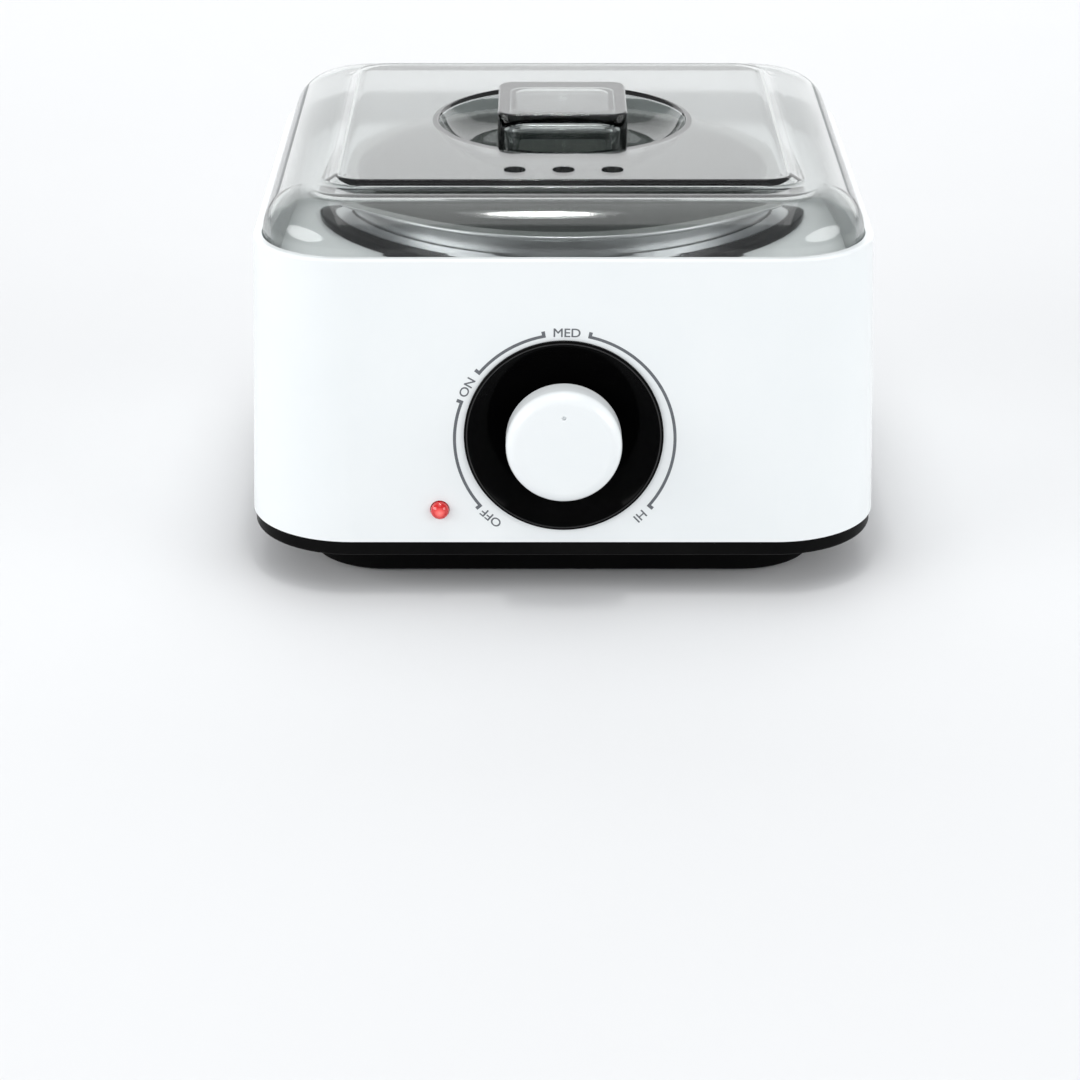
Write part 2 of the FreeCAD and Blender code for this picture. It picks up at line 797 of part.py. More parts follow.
def nut(label, flats, bore, low, height, place):
    blank = place(padded(label + "_blank", hexagon(flats), low, height))
    thread = place(rod(label + "_thread", bore, f"{low} - overrun", f"{low} + {height} + overrun"))
    return cut(label, blank, thread)


clamp_nut = nut(
    "clamp_nut", "bolt_nut_flats", "bolt_radius + thread_gap", grip, "bolt_nut_height",
    lambda thing: along_x(thing, bolt_y, bolt_z),
)

# Hold-down bracket: a hat-shaped strap that the well's stud pulls against two posts of the tray
strap_low = f"({well_floor} - strap_thickness)"
foot_top = f"({post_top} + strap_thickness)"
strap = padded("strap", [
    (f"-{foot_out}", post_top), (f"-{leg}", post_top), (f"-{leg}", strap_low), (leg, strap_low),
    (leg, post_top), (foot_out, post_top), (foot_out, foot_top), (leg_out, foot_top),
    (leg_out, well_floor), (f"-{leg_out}", well_floor), (f"-{leg_out}", foot_top),
    (f"-{foot_out}", foot_top),
], "-strap_width / 2", "strap_width", role="XZ_Plane")
stud_hole = rod("stud_hole", "stud_radius + hole_gap", f"{strap_low} - overrun", f"{well_floor} + overrun")


def strap_hole(label):
    return rod(label, clear_radius, f"{post_top} - overrun", f"{foot_top} + overrun")


def downward_screw(label):
    shank_low = f"({post_top} - short_screw + overrun)"
    return turned(label, [
        (0, shank_low),
        ("screw_radius", shank_low),
        ("screw_radius", foot_top),
        ("head_radius", foot_top),
        ("head_radius", f"{foot_top} + head_height"),
        (0, f"{foot_top} + head_height"),
    ])


hold_down_bracket = cut("hold_down_bracket", strap, stud_hole, *across_pair("strap_hole", strap_hole))
bracket_screws = group("bracket_screws", *across_pair("bracket_screw", downward_screw))
stud_nut = nut(
    "stud_nut", "stud_nut_flats", "stud_radius + thread_gap", f"({strap_low} - stud_nut_height)",
    "stud_nut_height", lambda thing: thing,
)

# Dial: heights are counted out from the front wall's face, square to it
inner_face = f"(-shell_wall * cos({draft}))"
bowl_z = "(bezel_lip - bowl_depth)"
bezel_back_z = f"({bowl_z} - bezel_wall)"
bowl_edge = "(bezel_radius - bezel_lip_width)"
bowl_centre = f"(({bowl_edge} ^ 2 - bowl_floor ^ 2 + bezel_lip ^ 2 - {bowl_z} ^ 2) / 2 / bowl_depth)"
bowl_arc = f"sqrt(bowl_floor ^ 2 + ({bowl_centre} - {bowl_z}) ^ 2)"
neck_radius = f"({dial_hole} - bezel_gap)"
neck_low = f"({inner_face} - bezel_neck)"
dial_bezel = on_dial(turned("dial_bezel", [
    ("bush_radius + bush_gap", bezel_back_z),
    ("bowl_floor + bezel_back_reach", bezel_back_z),
    (neck_radius, neck_low),
    (neck_radius, 0),
    ("bezel_radius", 0),
    ("bezel_radius", "bezel_lip"),
    (bowl_edge, "bezel_lip"),
    ("bowl_floor", bowl_z, 0, bowl_centre, -1),
    ("bush_radius + bush_gap", bowl_z),
]))
nut_top = f"({bowl_z} + nut_height)"
bush_top = f"({nut_top} + bush_stand)"
thermostat_nut = nut(
    "thermostat_nut", "nut_flats", "bush_radius + thread_gap", bowl_z, "nut_height", on_dial
)

# Thermostat behind the bezel, on a bracket that bears on the inside of the front wall
hat_low = f"({bezel_back_z} - hat_thickness)"
hat_leg = f"({dial_hole} + hat_clear)"
hat_out = f"({hat_leg} + hat_thickness)"
hat_end = f"({hat_leg} + hat_foot)"
hat_face = f"({inner_face} - hat_thickness)"
hat = on_dial(padded("hat", [
    (f"-{hat_out}", hat_low), (hat_out, hat_low), (hat_out, hat_face), (hat_end, hat_face),
    (hat_end, inner_face), (hat_leg, inner_face), (hat_leg, bezel_back_z), (f"-{hat_leg}", bezel_back_z),
    (f"-{hat_leg}", inner_face), (f"-{hat_end}", inner_face), (f"-{hat_end}", hat_face),
    (f"-{hat_out}", hat_face),
], "-hat_width / 2", "hat_width", role="XZ_Plane"))
hat_hole = on_dial(
    rod("hat_hole", "bush_radius + bush_gap", f"{hat_low} - overrun", f"{bezel_back_z} + overrun")
)
thermostat_bracket = cut("thermostat_bracket", hat, hat_hole)

thermostat_low = f"({hat_low} - thermostat_depth)"
thermostat_outline = rounded_square("thermostat_width", "thermostat_corner", "thermostat_height")
shaft_low = f"({hat_low} - shaft_root)"
tab_overlap = "thermostat_corner"
thermostat_tabs = []
for index, side in enumerate((-1, 1), start=1):
    tab_outline = rectangle(
        "tab_width", f"(tab_length + {tab_overlap})", f"{side} * thermostat_tab_pitch / 2",
        f"({tab_overlap} - tab_length - thermostat_height) / 2",
    )
    tab_low = f"{hat_low} - (thermostat_depth + tab_thickness) / 2"
    tab = padded(f"thermostat_tab_{index}", tab_outline, tab_low, "tab_thickness")
    thermostat_tabs.append(on_dial(tab))
sensor_low = f"({well_outer} + sensor_gap - {drafted_width(dial_height)} / 2)"
sensor = on_dial(padded(
    "sensor", rectangle("sensor_width", "sensor_height", 0, "sensor_lift"),
    sensor_low, f"{thermostat_low} - {sensor_low} + thermostat_corner",
))
thermostat_blank = fuse(
    "thermostat_blank",
    on_dial(padded("thermostat_block", thermostat_outline, thermostat_low, "thermostat_depth")),
    on_dial(rod("bush", "bush_radius", f"{hat_low} - overrun", bush_top)),
    sensor, *thermostat_tabs,
)
shaft_bore = on_dial(rod("shaft_bore", "shaft_radius + shaft_gap", shaft_low, f"{bush_top} + overrun"))
thermostat = cut("thermostat", thermostat_blank, shaft_bore)

# Knob: flatted shaft, black hub over the nut, white cap with a pointer dimple
hub_low = f"({bowl_centre} - sqrt({bowl_arc} ^ 2 - hub_radius ^ 2) + hub_gap)"
pocket_top = f"({bush_top} + nut_room)"
pocket_radius = "(nut_flats / sqrt(3) + nut_room)"
cap_inner = "(knob_radius - knob_wall)"
cap_roof = "(knob_face - knob_wall)"


def shaft_flat(label, gap):
    """The block beyond the shaft's flat, over the length that the hub grips."""
    middle = f"(3 / 2 * shaft_radius - shaft_flat + {gap})"
    outline = rectangle("3 * shaft_radius", "shaft_radius", 0, middle)
    return on_dial(padded(label, outline, pocket_top, f"shaft_reach - {pocket_top} + overrun"))


shaft_rod = on_dial(rod("shaft_rod", "shaft_radius", f"{shaft_low} + shaft_gap", "shaft_reach"))
thermostat_shaft = cut("thermostat_shaft", shaft_rod, shaft_flat("shaft_flat", 0))
hub_blank = on_dial(turned("hub_blank", [
    (0, pocket_top),
    (pocket_radius, pocket_top),
    (pocket_radius, hub_low),
    ("hub_radius", hub_low),
    ("hub_radius", "knob_back"),
    (f"{cap_inner} - hub_fit", "knob_back"),
    (f"{cap_inner} - hub_fit", cap_roof),
    (0, cap_roof),
]))
socket_rod = on_dial(
    rod("socket_rod", "shaft_radius + shaft_gap", f"{pocket_top} - overrun", "shaft_reach + shaft_gap")
)
shaft_socket = cut("shaft_socket", socket_rod, shaft_flat("socket_flat", "shaft_gap"))
knob_hub = cut("knob_hub", hub_blank, shaft_socket)
cap_blank = on_dial(turned("cap_blank", [
    (cap_inner, "knob_back"),
    ("knob_radius", "knob_back"),
    ("knob_radius", "knob_face - knob_round"),
    ("knob_radius - knob_round", "knob_face", "knob_radius - knob_round", "knob_face - knob_round", 1),
    (0, "knob_face"),
    (0, cap_roof),
    (cap_inner, cap_roof),
]))
dot_outline = [
    ("-dot_radius", "dot_offset", 0, "dot_offset", 1),
    ("dot_radius", "dot_offset", 0, "dot_offset", 1),
]
dot = on_dial(padded("dot", dot_outline, "knob_face - dot_depth", "dot_depth + overrun"))
knob_cap = cut("knob_cap", cap_blank, dot)

# Indicator lamp in the front wall, with the clip that backs it
dome_centre = "((lamp_dome ^ 2 - lamp_stand ^ 2 - lamp_radius ^ 2) / 2 / (lamp_dome - lamp_stand))"
lamp_flange = "(lamp_radius + lamp_flange_reach)"
flange_low = f"({inner_face} - lamp_flange_thickness)"
indicator_lamp = on_lamp(turned("indicator_lamp", [
    (0, "-lamp_length"),
    ("lamp_radius", "-lamp_length"),
    ("lamp_radius", flange_low),
    (lamp_flange, flange_low),
    (lamp_flange, inner_face),
    ("lamp_radius", inner_face),
    ("lamp_radius", "lamp_stand"),
    (0, "lamp_dome", 0, dome_centre, 1),
]))
clip_seat = f"({flange_low} - bush_gap)"
clip_radius = f"({lamp_flange} + bush_gap + lamp_clip_wall)"
indicator_clip = on_lamp(turned("indicator_clip", [
    ("lamp_radius + bush_gap", f"{clip_seat} - lamp_clip_length"),
    (clip_radius, f"{clip_seat} - lamp_clip_length"),
    (clip_radius, inner_face),
    (f"{lamp_flange} + bush_gap", inner_face),
    (f"{lamp_flange} + bush_gap", clip_seat),
    ("lamp_radius + bush_gap", clip_seat),
]))

# Terminal block on the tray's floor, near the gland
block_top = f"({floor_z} + block_height)"
block_front = f"({plinth_width} / 2 - tray_wall - block_gap - block_depth)"
block_middle = f"({block_front} + block_depth / 2)"
block_outline = rectangle("2 * (pole_pitch + block_end)", "block_depth", 0, block_middle)
block_blank = padded("block_blank", block_outline, floor_z, "block_height")
screw_wells = []
screws = []
for pole in (-1, 0, 1):
    for row in (-1, 1):
        place = (f"{pole} * pole_pitch", f"{block_middle} + {row} * block_depth / 4")
        name = f"{pole + 2}_{(row + 3) // 2}"
        well_low = f"({block_top} - terminal_depth)"
        screw_well = rod(
            f"terminal_well_{name}", "terminal_radius + hole_gap", well_low, f"{block_top} + overrun"
        )
        screw = rod(f"terminal_screw_{name}", "terminal_radius", well_low, f"{block_top} - overrun")
        screw_wells.append(seat(screw_well, *place))
        screws.append(seat(screw, *place))
terminal_block = cut("terminal_block", block_blank, *screw_wells)
terminal_screws = group("terminal_screws", *screws)

# Thermal fuse in its sleeve, clipped under the well's floor
sleeve_inner = "(fuse_radius + sleeve_gap)"
sleeve_outer = f"({sleeve_inner} + sleeve_wall)"
saddle_inner = f"({sleeve_outer} + sleeve_gap)"
saddle_outer = f"({saddle_inner} + clip_wall)"
fuse_z = f"({well_floor} - {saddle_inner})"


def under_well(thing):
    return along_x(thing, "fuse_setback", fuse_z)


thermal_fuse = under_well(rod("thermal_fuse", "fuse_radius", "-fuse_length / 2", "fuse_length / 2"))
fuse_sleeve = under_well(
    tube("fuse_sleeve", sleeve_inner, sleeve_outer, "-sleeve_length / 2", "sleeve_length / 2")
)


def beside_fuse(distance):
    return f"(fuse_setback + {distance})"


saddle_low = f"({well_floor} - clip_wall)"
saddle_end = f"({saddle_outer} + clip_foot)"
fuse_clip = padded("fuse_clip", [
    (beside_fuse(f"-{saddle_inner}"), well_floor),
    (beside_fuse(f"-{saddle_inner}"), fuse_z),
    (beside_fuse(saddle_inner), fuse_z, "fuse_setback", fuse_z, 1),
    (beside_fuse(saddle_inner), well_floor),
    (beside_fuse(saddle_end), well_floor),
    (beside_fuse(saddle_end), saddle_low),
    (beside_fuse(saddle_outer), saddle_low),
    (beside_fuse(saddle_outer), fuse_z),
    (beside_fuse(f"-{saddle_outer}"), fuse_z, "fuse_setback", fuse_z, -1),
    (beside_fuse(f"-{saddle_outer}"), saddle_low),
    (beside_fuse(f"-{saddle_end}"), saddle_low),
    (beside_fuse(f"-{saddle_end}"), well_floor),
], "-clip_width / 2", "clip_width", role="YZ_Plane")

# Cord gland in the back wall
gland_flange = f"({gland_neck} + gland_flange_reach)"
gland_tail_radius = f"(({gland_neck} + {gland_flange}) / 2)"
cord_gland = on_gland(turned("cord_gland", [
    ("gland_bore", f"{inner_face} - gland_tail"),
    (gland_tail_radius, f"{inner_face} - gland_tail"),
    (gland_tail_radius, inner_face),
    (gland_neck, inner_face),
    (gland_neck, 0),
    (gland_flange, 0),
    (gland_tail_radius, "gland_flange_thickness"),
    ("gland_bore", "gland_flange_thickness"),
]))


# Wires: straight leads out of both ends, and bends between points placed by shares
def off_wall(across, height, sideways, up, out):
    """A point given square to the front wall, in the part's own frame."""
    tilt = math.radians(measure(draft))
    face = measure(f"-{drafted_width(height)} / 2")
    along = face + up * math.sin(tilt) - out * math.cos(tilt)
    return FreeCAD.Vector(
        measure(across) + sideways, along, measure(height) + up * math.cos(tilt) + out * math.sin(tilt)
    )


def bent_path(points):
    edges = []
    last = points[0]
    for before, corner, after in zip(points, points[1:], points[2:]):
        arriving = (corner - before).normalize()
        leaving = (after - corner).normalize()
        half_turn = arriving.getAngle(leaving) / 2
        reach = BEND_SHARE * min((corner - before).Length, (after - corner).Length)
        radius = reach / math.tan(half_turn)
        inward = (leaving - arriving).normalize()
        middle = corner + inward * (radius / math.cos(half_turn) - radius)
        begin, finish = corner - arriving * reach, corner + leaving * reach
        edges.append(Part.LineSegment(last, begin).toShape())
        edges.append(Part.Arc(begin, middle, finish).toShape())
        last = finish
    edges.append(Part.LineSegment(last, points[-1]).toShape())
    return Part.Wire(edges)


def wire_solid(radius, start, leaving, end, arriving, shares, lead, end_lead):
    """A round wire. Each share row is (to the side, along the way, up) of its named lengths."""
    first = start + leaving * lead
    final = end - arriving * end_lead
    points = [start, first]
    for side_share, way_share, rise_share in shares:
        point = first + (final - first) * way_share
        point.x += side_share * measure("wire_side")
        point.z += rise_share * measure("wire_drop")
        points.append(point)
    points += [final, end]
    path = bent_path(points)
    tightest = min(edge.Curve.Radius for edge in path.Edges if isinstance(edge.Curve, Part.Circle))
    section = Part.Wire([Part.Circle(start, leaving, radius).toShape()])
    solid = path.makePipeShell([section], True, False)
    fullness = solid.Volume / (math.pi * radius ** 2 * path.Length)
    print(f"wire {path.Length:.1f} mm, tightest bend {tightest:.1f} mm, fullness {fullness:.4f}")
    return solid


def wire(label, *solids):
    feature = doc.addObject("Part::Feature", label)
    feature.Shape = solids[0] if len(solids) == 1 else Part.makeCompound(solids)
    return feature


def wall_way(up, out):
    """A direction given square to the front wall, in the part's own frame."""
    return off_wall(0, dial_height, 0, up, out) - off_wall(0, dial_height, 0, 0, 0)


LEFT, RIGHT = FreeCAD.Vector(-1, 0, 0), FreeCAD.Vector(1, 0, 0)
UP, BACK = FreeCAD.Vector(0, 0, 1), FreeCAD.Vector(0, 1, 0)
DOWN_THE_WALL = wall_way(-1, 0)
INTO_THE_WALL = wall_way(0, -1)


def thermostat_end(side):
    return off_wall(
        0, dial_height, side * measure("thermostat_tab_pitch / 2"),
        -measure("thermostat_height / 2 + tab_length"), measure(f"{hat_low} - thermostat_depth / 2"),
    )


def band_end(side):
    reach = measure(f"{band_inner} + band_thickness / 2")
    angle = math.radians(measure("tab_angle"))
    low = measure(f"{band_z} - band_tab_length")
    return FreeCAD.Vector(side * reach * math.sin(angle), reach * math.cos(angle), low)


def pole_end(across, rise):
    return FreeCAD.Vector(measure(across), measure(block_front), measure(f"{floor_z} + {rise}"))


def fuse_end(side):
    return FreeCAD.Vector(side * measure("fuse_length / 2"), measure("fuse_setback"), measure(fuse_z))


wire_size = measure("wire_radius")
lead = measure("wire_lead")
LIVE_SHARES = [(-0.3, 0.22, -0.4), (-0.45, 0.6, -0.3)]
HEATER_SHARES = [(0.5, 0.2, -0.4), (0.6, 0.55, -1.4), (0.4, 0.85, -1.0)]
FUSE_SHARES = [(-0.2, 0.5, -0.4)]
NEUTRAL_SHARES = [(0.25, 0.5, 0.0)]
LAMP_SHARES = [(0.0, 0.2, -1.0), (-0.55, 0.6, -0.8), (-0.6, 0.88, -0.1)]

live_wire = wire("live_wire", wire_solid(
    wire_size, thermostat_end(-1), DOWN_THE_WALL, pole_end("-pole_pitch", "pole_height"), BACK,
    LIVE_SHARES, lead, lead,
))
heater_wire = wire("heater_wire", wire_solid(
    wire_size, thermostat_end(1), DOWN_THE_WALL, band_end(1), UP, HEATER_SHARES, lead, lead
))
fuse_wire = wire("fuse_wire", wire_solid(
    wire_size, fuse_end(-1), LEFT, band_end(-1), UP, FUSE_SHARES, lead, lead
))
neutral_wire = wire("neutral_wire", wire_solid(
    wire_size, fuse_end(1), RIGHT, pole_end("pole_pitch", "pole_height"), BACK,
    NEUTRAL_SHARES, lead, lead,
))
lamp_solids = []
for side in (-1, 1):
    half_pitch = side * measure("lead_pitch / 2")
    lamp_solids.append(wire_solid(
        measure("lead_radius"),
        off_wall("-lamp_across", lamp_height, half_pitch, 0, -measure("lamp_length")), INTO_THE_WALL,
        pole_end(f"{side} * lead_pitch / 2", "pole_height + lead_rise"), BACK, LAMP_SHARES,
        lead, lead + measure("lead_pitch") * (side + 1) / 2,
    ))
indicator_wires = wire("indicator_wires", *lamp_solids)

pieces = [
    housing, top_deck, base_tray, feet, base_screws, well_ring, heating_well, heater_band, band_clamp,
    clamp_bolt, clamp_nut, hold_down_bracket, stud_nut, bracket_screws, dial_bezel, thermostat,
    thermostat_bracket, thermostat_nut, thermostat_shaft, knob_hub, knob_cap, indicator_lamp,
    indicator_clip, indicator_wires, terminal_block, terminal_screws, thermal_fuse, fuse_sleeve, fuse_clip,
    live_wire, heater_wire, fuse_wire, neutral_wire, cord_gland, pot, lid,
]
doc.recompute()
for thing in doc.Objects:
    if "Invalid" in thing.State or "Error" in thing.State:
        raise RuntimeError(f"{thing.Label} did not build: {thing.State}")
for piece in pieces:
    if piece.Shape.isNull() or not piece.Shape.isValid():
        raise RuntimeError(f"{piece.Label} has no valid shape")
os.makedirs("parts", exist_ok=True)
for piece in pieces:
    piece.Shape.exportStep(f"parts/{piece.Label}.step")
    print(f"{piece.Label}: {len(piece.Shape.Solids)} solids, {piece.Shape.Volume:.0f} mm3")
print("dial centre", off_wall(0, dial_height, 0, 0, 0), "axis inward", INTO_THE_WALL)
print("gland at", measure(f"{drafted_width(gland_height)} / 2"), measure(gland_height))
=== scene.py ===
# %% [markdown]
# # A wax warmer, dressed in Blender
#
# A salon wax warmer is a white moulded body on a black base. A lift-out pot sits in a heated well under
# a smoky clear lid, and a white knob in a glossy black bowl sets the heat. The engineering model already
# holds every piece at its real size, so this lesson gives the pieces their finishes, remodels the ones
# whose soft edges and clear walls the eye goes to, and adds the printed heat scale. We start from the
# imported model, because everything that follows is measured from it.

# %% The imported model
import json
import math
import bmesh
import bpy
from mathutils import Matrix, Vector
from types import SimpleNamespace


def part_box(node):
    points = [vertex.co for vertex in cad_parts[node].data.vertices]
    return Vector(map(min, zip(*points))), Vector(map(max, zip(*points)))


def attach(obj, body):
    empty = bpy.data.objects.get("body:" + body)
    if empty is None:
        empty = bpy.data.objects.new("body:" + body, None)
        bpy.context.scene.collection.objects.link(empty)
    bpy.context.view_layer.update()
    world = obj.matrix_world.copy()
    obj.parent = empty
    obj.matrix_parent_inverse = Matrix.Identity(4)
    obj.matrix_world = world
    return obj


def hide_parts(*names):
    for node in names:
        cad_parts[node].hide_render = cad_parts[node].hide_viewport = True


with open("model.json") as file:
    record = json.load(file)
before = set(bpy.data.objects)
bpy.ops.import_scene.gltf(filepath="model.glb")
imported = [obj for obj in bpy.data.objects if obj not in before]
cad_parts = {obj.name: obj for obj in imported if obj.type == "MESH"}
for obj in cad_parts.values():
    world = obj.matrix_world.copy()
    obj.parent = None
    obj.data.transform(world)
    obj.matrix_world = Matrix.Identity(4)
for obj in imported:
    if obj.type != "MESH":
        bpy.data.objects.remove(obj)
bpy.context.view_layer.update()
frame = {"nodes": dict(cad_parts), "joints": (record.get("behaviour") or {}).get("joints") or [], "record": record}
MM = 0.001


def box_of(node):
    """A node's lowest and highest corners in millimetres."""
    low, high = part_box(node)
    return Vector(low) / MM, Vector(high) / MM


# %% [markdown]
# ## The camera
#
# The photograph looks down on the front from a little above, with a long lens that keeps the sides of
# the body nearly upright. A camera could be placed by eye, but here its place was worked out from the
# edges of the body: far back, pitched down, with no roll and no shift.

# %% Camera
CAMERA_PLACE = Vector((-6.6, -841.0, 345.8))
CAMERA_PITCH = 23.617
CAMERA_LENS = 96.67
SENSOR_WIDTH = 36.0

camera_data = bpy.data.cameras.new("photo_camera")
camera_data.sensor_width = SENSOR_WIDTH
camera_data.lens = CAMERA_LENS
camera = bpy.data.objects.new("photo_camera", camera_data)
camera.location = CAMERA_PLACE * MM
camera.rotation_euler = (math.radians(90 - CAMERA_PITCH), 0, 0)
bpy.context.scene.collection.objects.link(camera)
bpy.context.scene.camera = camera
bpy.context.scene.view_settings.view_transform = "Standard"
print("camera", [round(c, 3) for c in camera.location])

# %% [markdown]
# ## Nodes without the clutter
#
# Every finish below is a small node tree, and a few helpers keep them readable. One adds a node with its
# settings and unlinked values, one wires sockets together, one ties textures to the piece, one starts a
# node group with named sockets, and one places a group. A group is the right home for an effect that
# several finishes share, such as grain or edge rub, because it is built once and then placed with values
# of its own in each material. A few sockets of one node share a name, such as the two sides of a mix, so
# those are called by their place.

# %% Node helpers
FIRST, SECOND, THIRD = 0, 1, 2
NUMBER_A, NUMBER_B = 2, 3
COLOUR_A, COLOUR_B, COLOUR_OUT = 6, 7, 2


def add(tree, kind, values=None, **settings):
    """Adds a node, sets its properties and fills its unlinked sockets."""
    node = tree.nodes.new(kind)
    for name, setting in settings.items():
        setattr(node, name, setting)
    for socket, value in (values or {}).items():
        node.inputs[socket].default_value = value
    return node


def wire(tree, *runs):
    """Links sockets. A run names a node and its output, then the next node and its input."""
    for source, output, target, entry in runs:
        tree.links.new(source.outputs[output], target.inputs[entry])


def own_space(tree, *textures):
    """Ties textures to the object's own space."""
    place_in = add(tree, "ShaderNodeTexCoord")
    for texture in textures:
        wire(tree, (place_in, "Object", texture, "Vector"))


print("node helpers ready")

# %% Group helpers
VALUE, COLOUR = "NodeSocketFloat", "NodeSocketColor"


def new_group(name, inputs, outputs):
    """A shader group whose sockets are given as name: default value, or name: kind for outputs."""
    group = bpy.data.node_groups.new(name, "ShaderNodeTree")
    for label, value in inputs.items():
        kind = COLOUR if isinstance(value, tuple) else VALUE
        group.interface.new_socket(label, in_out="INPUT", socket_type=kind).default_value = value
    for label, kind in outputs.items():
        group.interface.new_socket(label, in_out="OUTPUT", socket_type=kind)
    return group, add(group, "NodeGroupInput"), add(group, "NodeGroupOutput")


def place(tree, group, values):
    """Puts a group into a material with its own values."""
    return add(tree, "ShaderNodeGroup", values, node_tree=group)


print("group helpers ready")

# %% [markdown]
# ## Tone drift
#
# No moulding is one flat colour: the pigment swirls a little as the plastic flows. A painted texture
# could hold that, but a slow noise in the object's own space needs no image, has no seams and stays with
# the piece when it moves. The group mixes two near colours by that noise.

# %% Tone drift group
tone_drift, start, end = new_group(
    "Tone Drift", {"Main": (1, 1, 1, 1), "Other": (1, 1, 1, 1), "Scale": 30.0}, {"Colour": COLOUR}
)
cloud = add(tone_drift, "ShaderNodeTexNoise", {"Detail": 4.0, "Roughness": 0.6, "Distortion": 0.4})
spread = add(tone_drift, "ShaderNodeMapRange", {"From Min": 0.3, "From Max": 0.7})
blend = add(tone_drift, "ShaderNodeMix", data_type="RGBA")
own_space(tone_drift, cloud)
wire(
    tone_drift,
    (start, "Scale", cloud, "Scale"),
    (cloud, "Fac", spread, "Value"),
    (spread, "Result", blend, "Factor"),
    (start, "Main", blend, COLOUR_A),
    (start, "Other", blend, COLOUR_B),
    (blend, COLOUR_OUT, end, "Colour"),
)
print("group:", tone_drift.name)

# %% [markdown]
# ## Moulded grain
#
# A polished mould still leaves a faint orange peel, and a textured one leaves a grain like fine leather.
# Both are heights, so the group puts out one height that a Bump node turns into light and shade. Two
# sizes of noise keep the grain from looking like a regular pattern.

# %% Moulded grain group
FINE_TIMES = 3.7
moulded_grain, start, end = new_group("Moulded Grain", {"Scale": 900.0, "Fine": 0.4}, {"Height": VALUE})
coarse = add(moulded_grain, "ShaderNodeTexNoise", {"Detail": 2.0})
finer = add(moulded_grain, "ShaderNodeMath", {SECOND: FINE_TIMES}, operation="MULTIPLY")
fine = add(moulded_grain, "ShaderNodeTexNoise", {"Detail": 2.0})
both = add(moulded_grain, "ShaderNodeMix", data_type="FLOAT")
own_space(moulded_grain, coarse, fine)
wire(
    moulded_grain,
    (start, "Scale", coarse, "Scale"),
    (start, "Scale", finer, FIRST),
    (finer, FIRST, fine, "Scale"),
    (start, "Fine", both, "Factor"),
    (coarse, "Fac", both, NUMBER_A),
    (fine, "Fac", both, NUMBER_B),
    (both, FIRST, end, "Height"),
)
print("group:", moulded_grain.name)

# %% [markdown]
# ## Handling
#
# Fingers polish some places and leave a film on others, so gloss is never even. The group takes a
# middling roughness and swings it up and down in soft patches.

# %% Handling group
NOISE_MIDDLE = 0.5
handling, start, end = new_group(
    "Handling", {"Roughness": 0.3, "Swing": 0.1, "Scale": 45.0}, {"Roughness": VALUE}
)
patches = add(handling, "ShaderNodeTexNoise", {"Detail": 5.0, "Roughness": 0.65, "Distortion": 0.8})
centred = add(handling, "ShaderNodeMath", {SECOND: NOISE_MIDDLE}, operation="SUBTRACT")
swung = add(handling, "ShaderNodeMath", operation="MULTIPLY_ADD")
own_space(handling, patches)
wire(
    handling,
    (start, "Scale", patches, "Scale"),
    (patches, "Fac", centred, FIRST),
    (centred, FIRST, swung, FIRST),
    (start, "Swing", swung, SECOND),
    (start, "Roughness", swung, THIRD),
    (swung, FIRST, end, "Roughness"),
)
print("group:", handling.name)

# %% [markdown]
# ## Edge rub
#
# Edges meet cloths, tables and hands first, so they wear brighter. The Bevel node looks a little way
# round each point and rounds its normal there. Where that differs from the true normal there is an edge,
# and a noise breaks the line up so that the wear isn't a drawn outline.

# %% Edge rub group
edge_rub, start, end = new_group("Edge Rub", {"Reach": 0.0006, "Breakup": 260.0}, {"Mask": VALUE})
rounded = add(edge_rub, "ShaderNodeBevel", samples=4)
true = add(edge_rub, "ShaderNodeNewGeometry")
agree = add(edge_rub, "ShaderNodeVectorMath", operation="DOT_PRODUCT")
edge = add(edge_rub, "ShaderNodeMapRange", {"From Min": 0.995, "From Max": 0.85})
breakup = add(edge_rub, "ShaderNodeTexNoise", {"Detail": 3.0})
broken = add(edge_rub, "ShaderNodeMath", operation="MULTIPLY")
own_space(edge_rub, breakup)
wire(
    edge_rub,
    (start, "Reach", rounded, "Radius"),
    (rounded, "Normal", agree, FIRST),
    (true, "Normal", agree, SECOND),
    (agree, "Value", edge, "Value"),
    (start, "Breakup", breakup, "Scale"),
    (edge, "Result", broken, FIRST),
    (breakup, "Fac", broken, SECOND),
    (broken, FIRST, end, "Mask"),
)
print("group:", edge_rub.name)

# %% [markdown]
# ## Settled dust
#
# Dust lies on what faces up, in specks rather than a film. The group multiplies an upward-facing mask by
# a speckle, and a dark finish uses it to lift its colour a touch.

# %% Settled dust group
settled_dust, start, end = new_group("Settled Dust", {"Scale": 1400.0, "Cover": 0.3}, {"Mask": VALUE})
true = add(settled_dust, "ShaderNodeNewGeometry")
upright = add(settled_dust, "ShaderNodeSeparateXYZ")
facing_up = add(settled_dust, "ShaderNodeMapRange", {"From Min": 0.5, "From Max": 1.0})
specks = add(settled_dust, "ShaderNodeTexNoise", {"Detail": 1.0})
sparse = add(settled_dust, "ShaderNodeMapRange", {"From Min": 0.6, "From Max": 0.75})
settled = add(settled_dust, "ShaderNodeMath", operation="MULTIPLY")
amount = add(settled_dust, "ShaderNodeMath", operation="MULTIPLY")
own_space(settled_dust, specks)
wire(
    settled_dust,
    (true, "Normal", upright, FIRST),
    (upright, "Z", facing_up, "Value"),
    (start, "Scale", specks, "Scale"),
    (specks, "Fac", sparse, "Value"),
    (sparse, "Result", settled, FIRST),
    (facing_up, "Result", settled, SECOND),
    (settled, FIRST, amount, FIRST),
    (start, "Cover", amount, SECOND),
    (amount, FIRST, end, "Mask"),
)
print("group:", settled_dust.name)

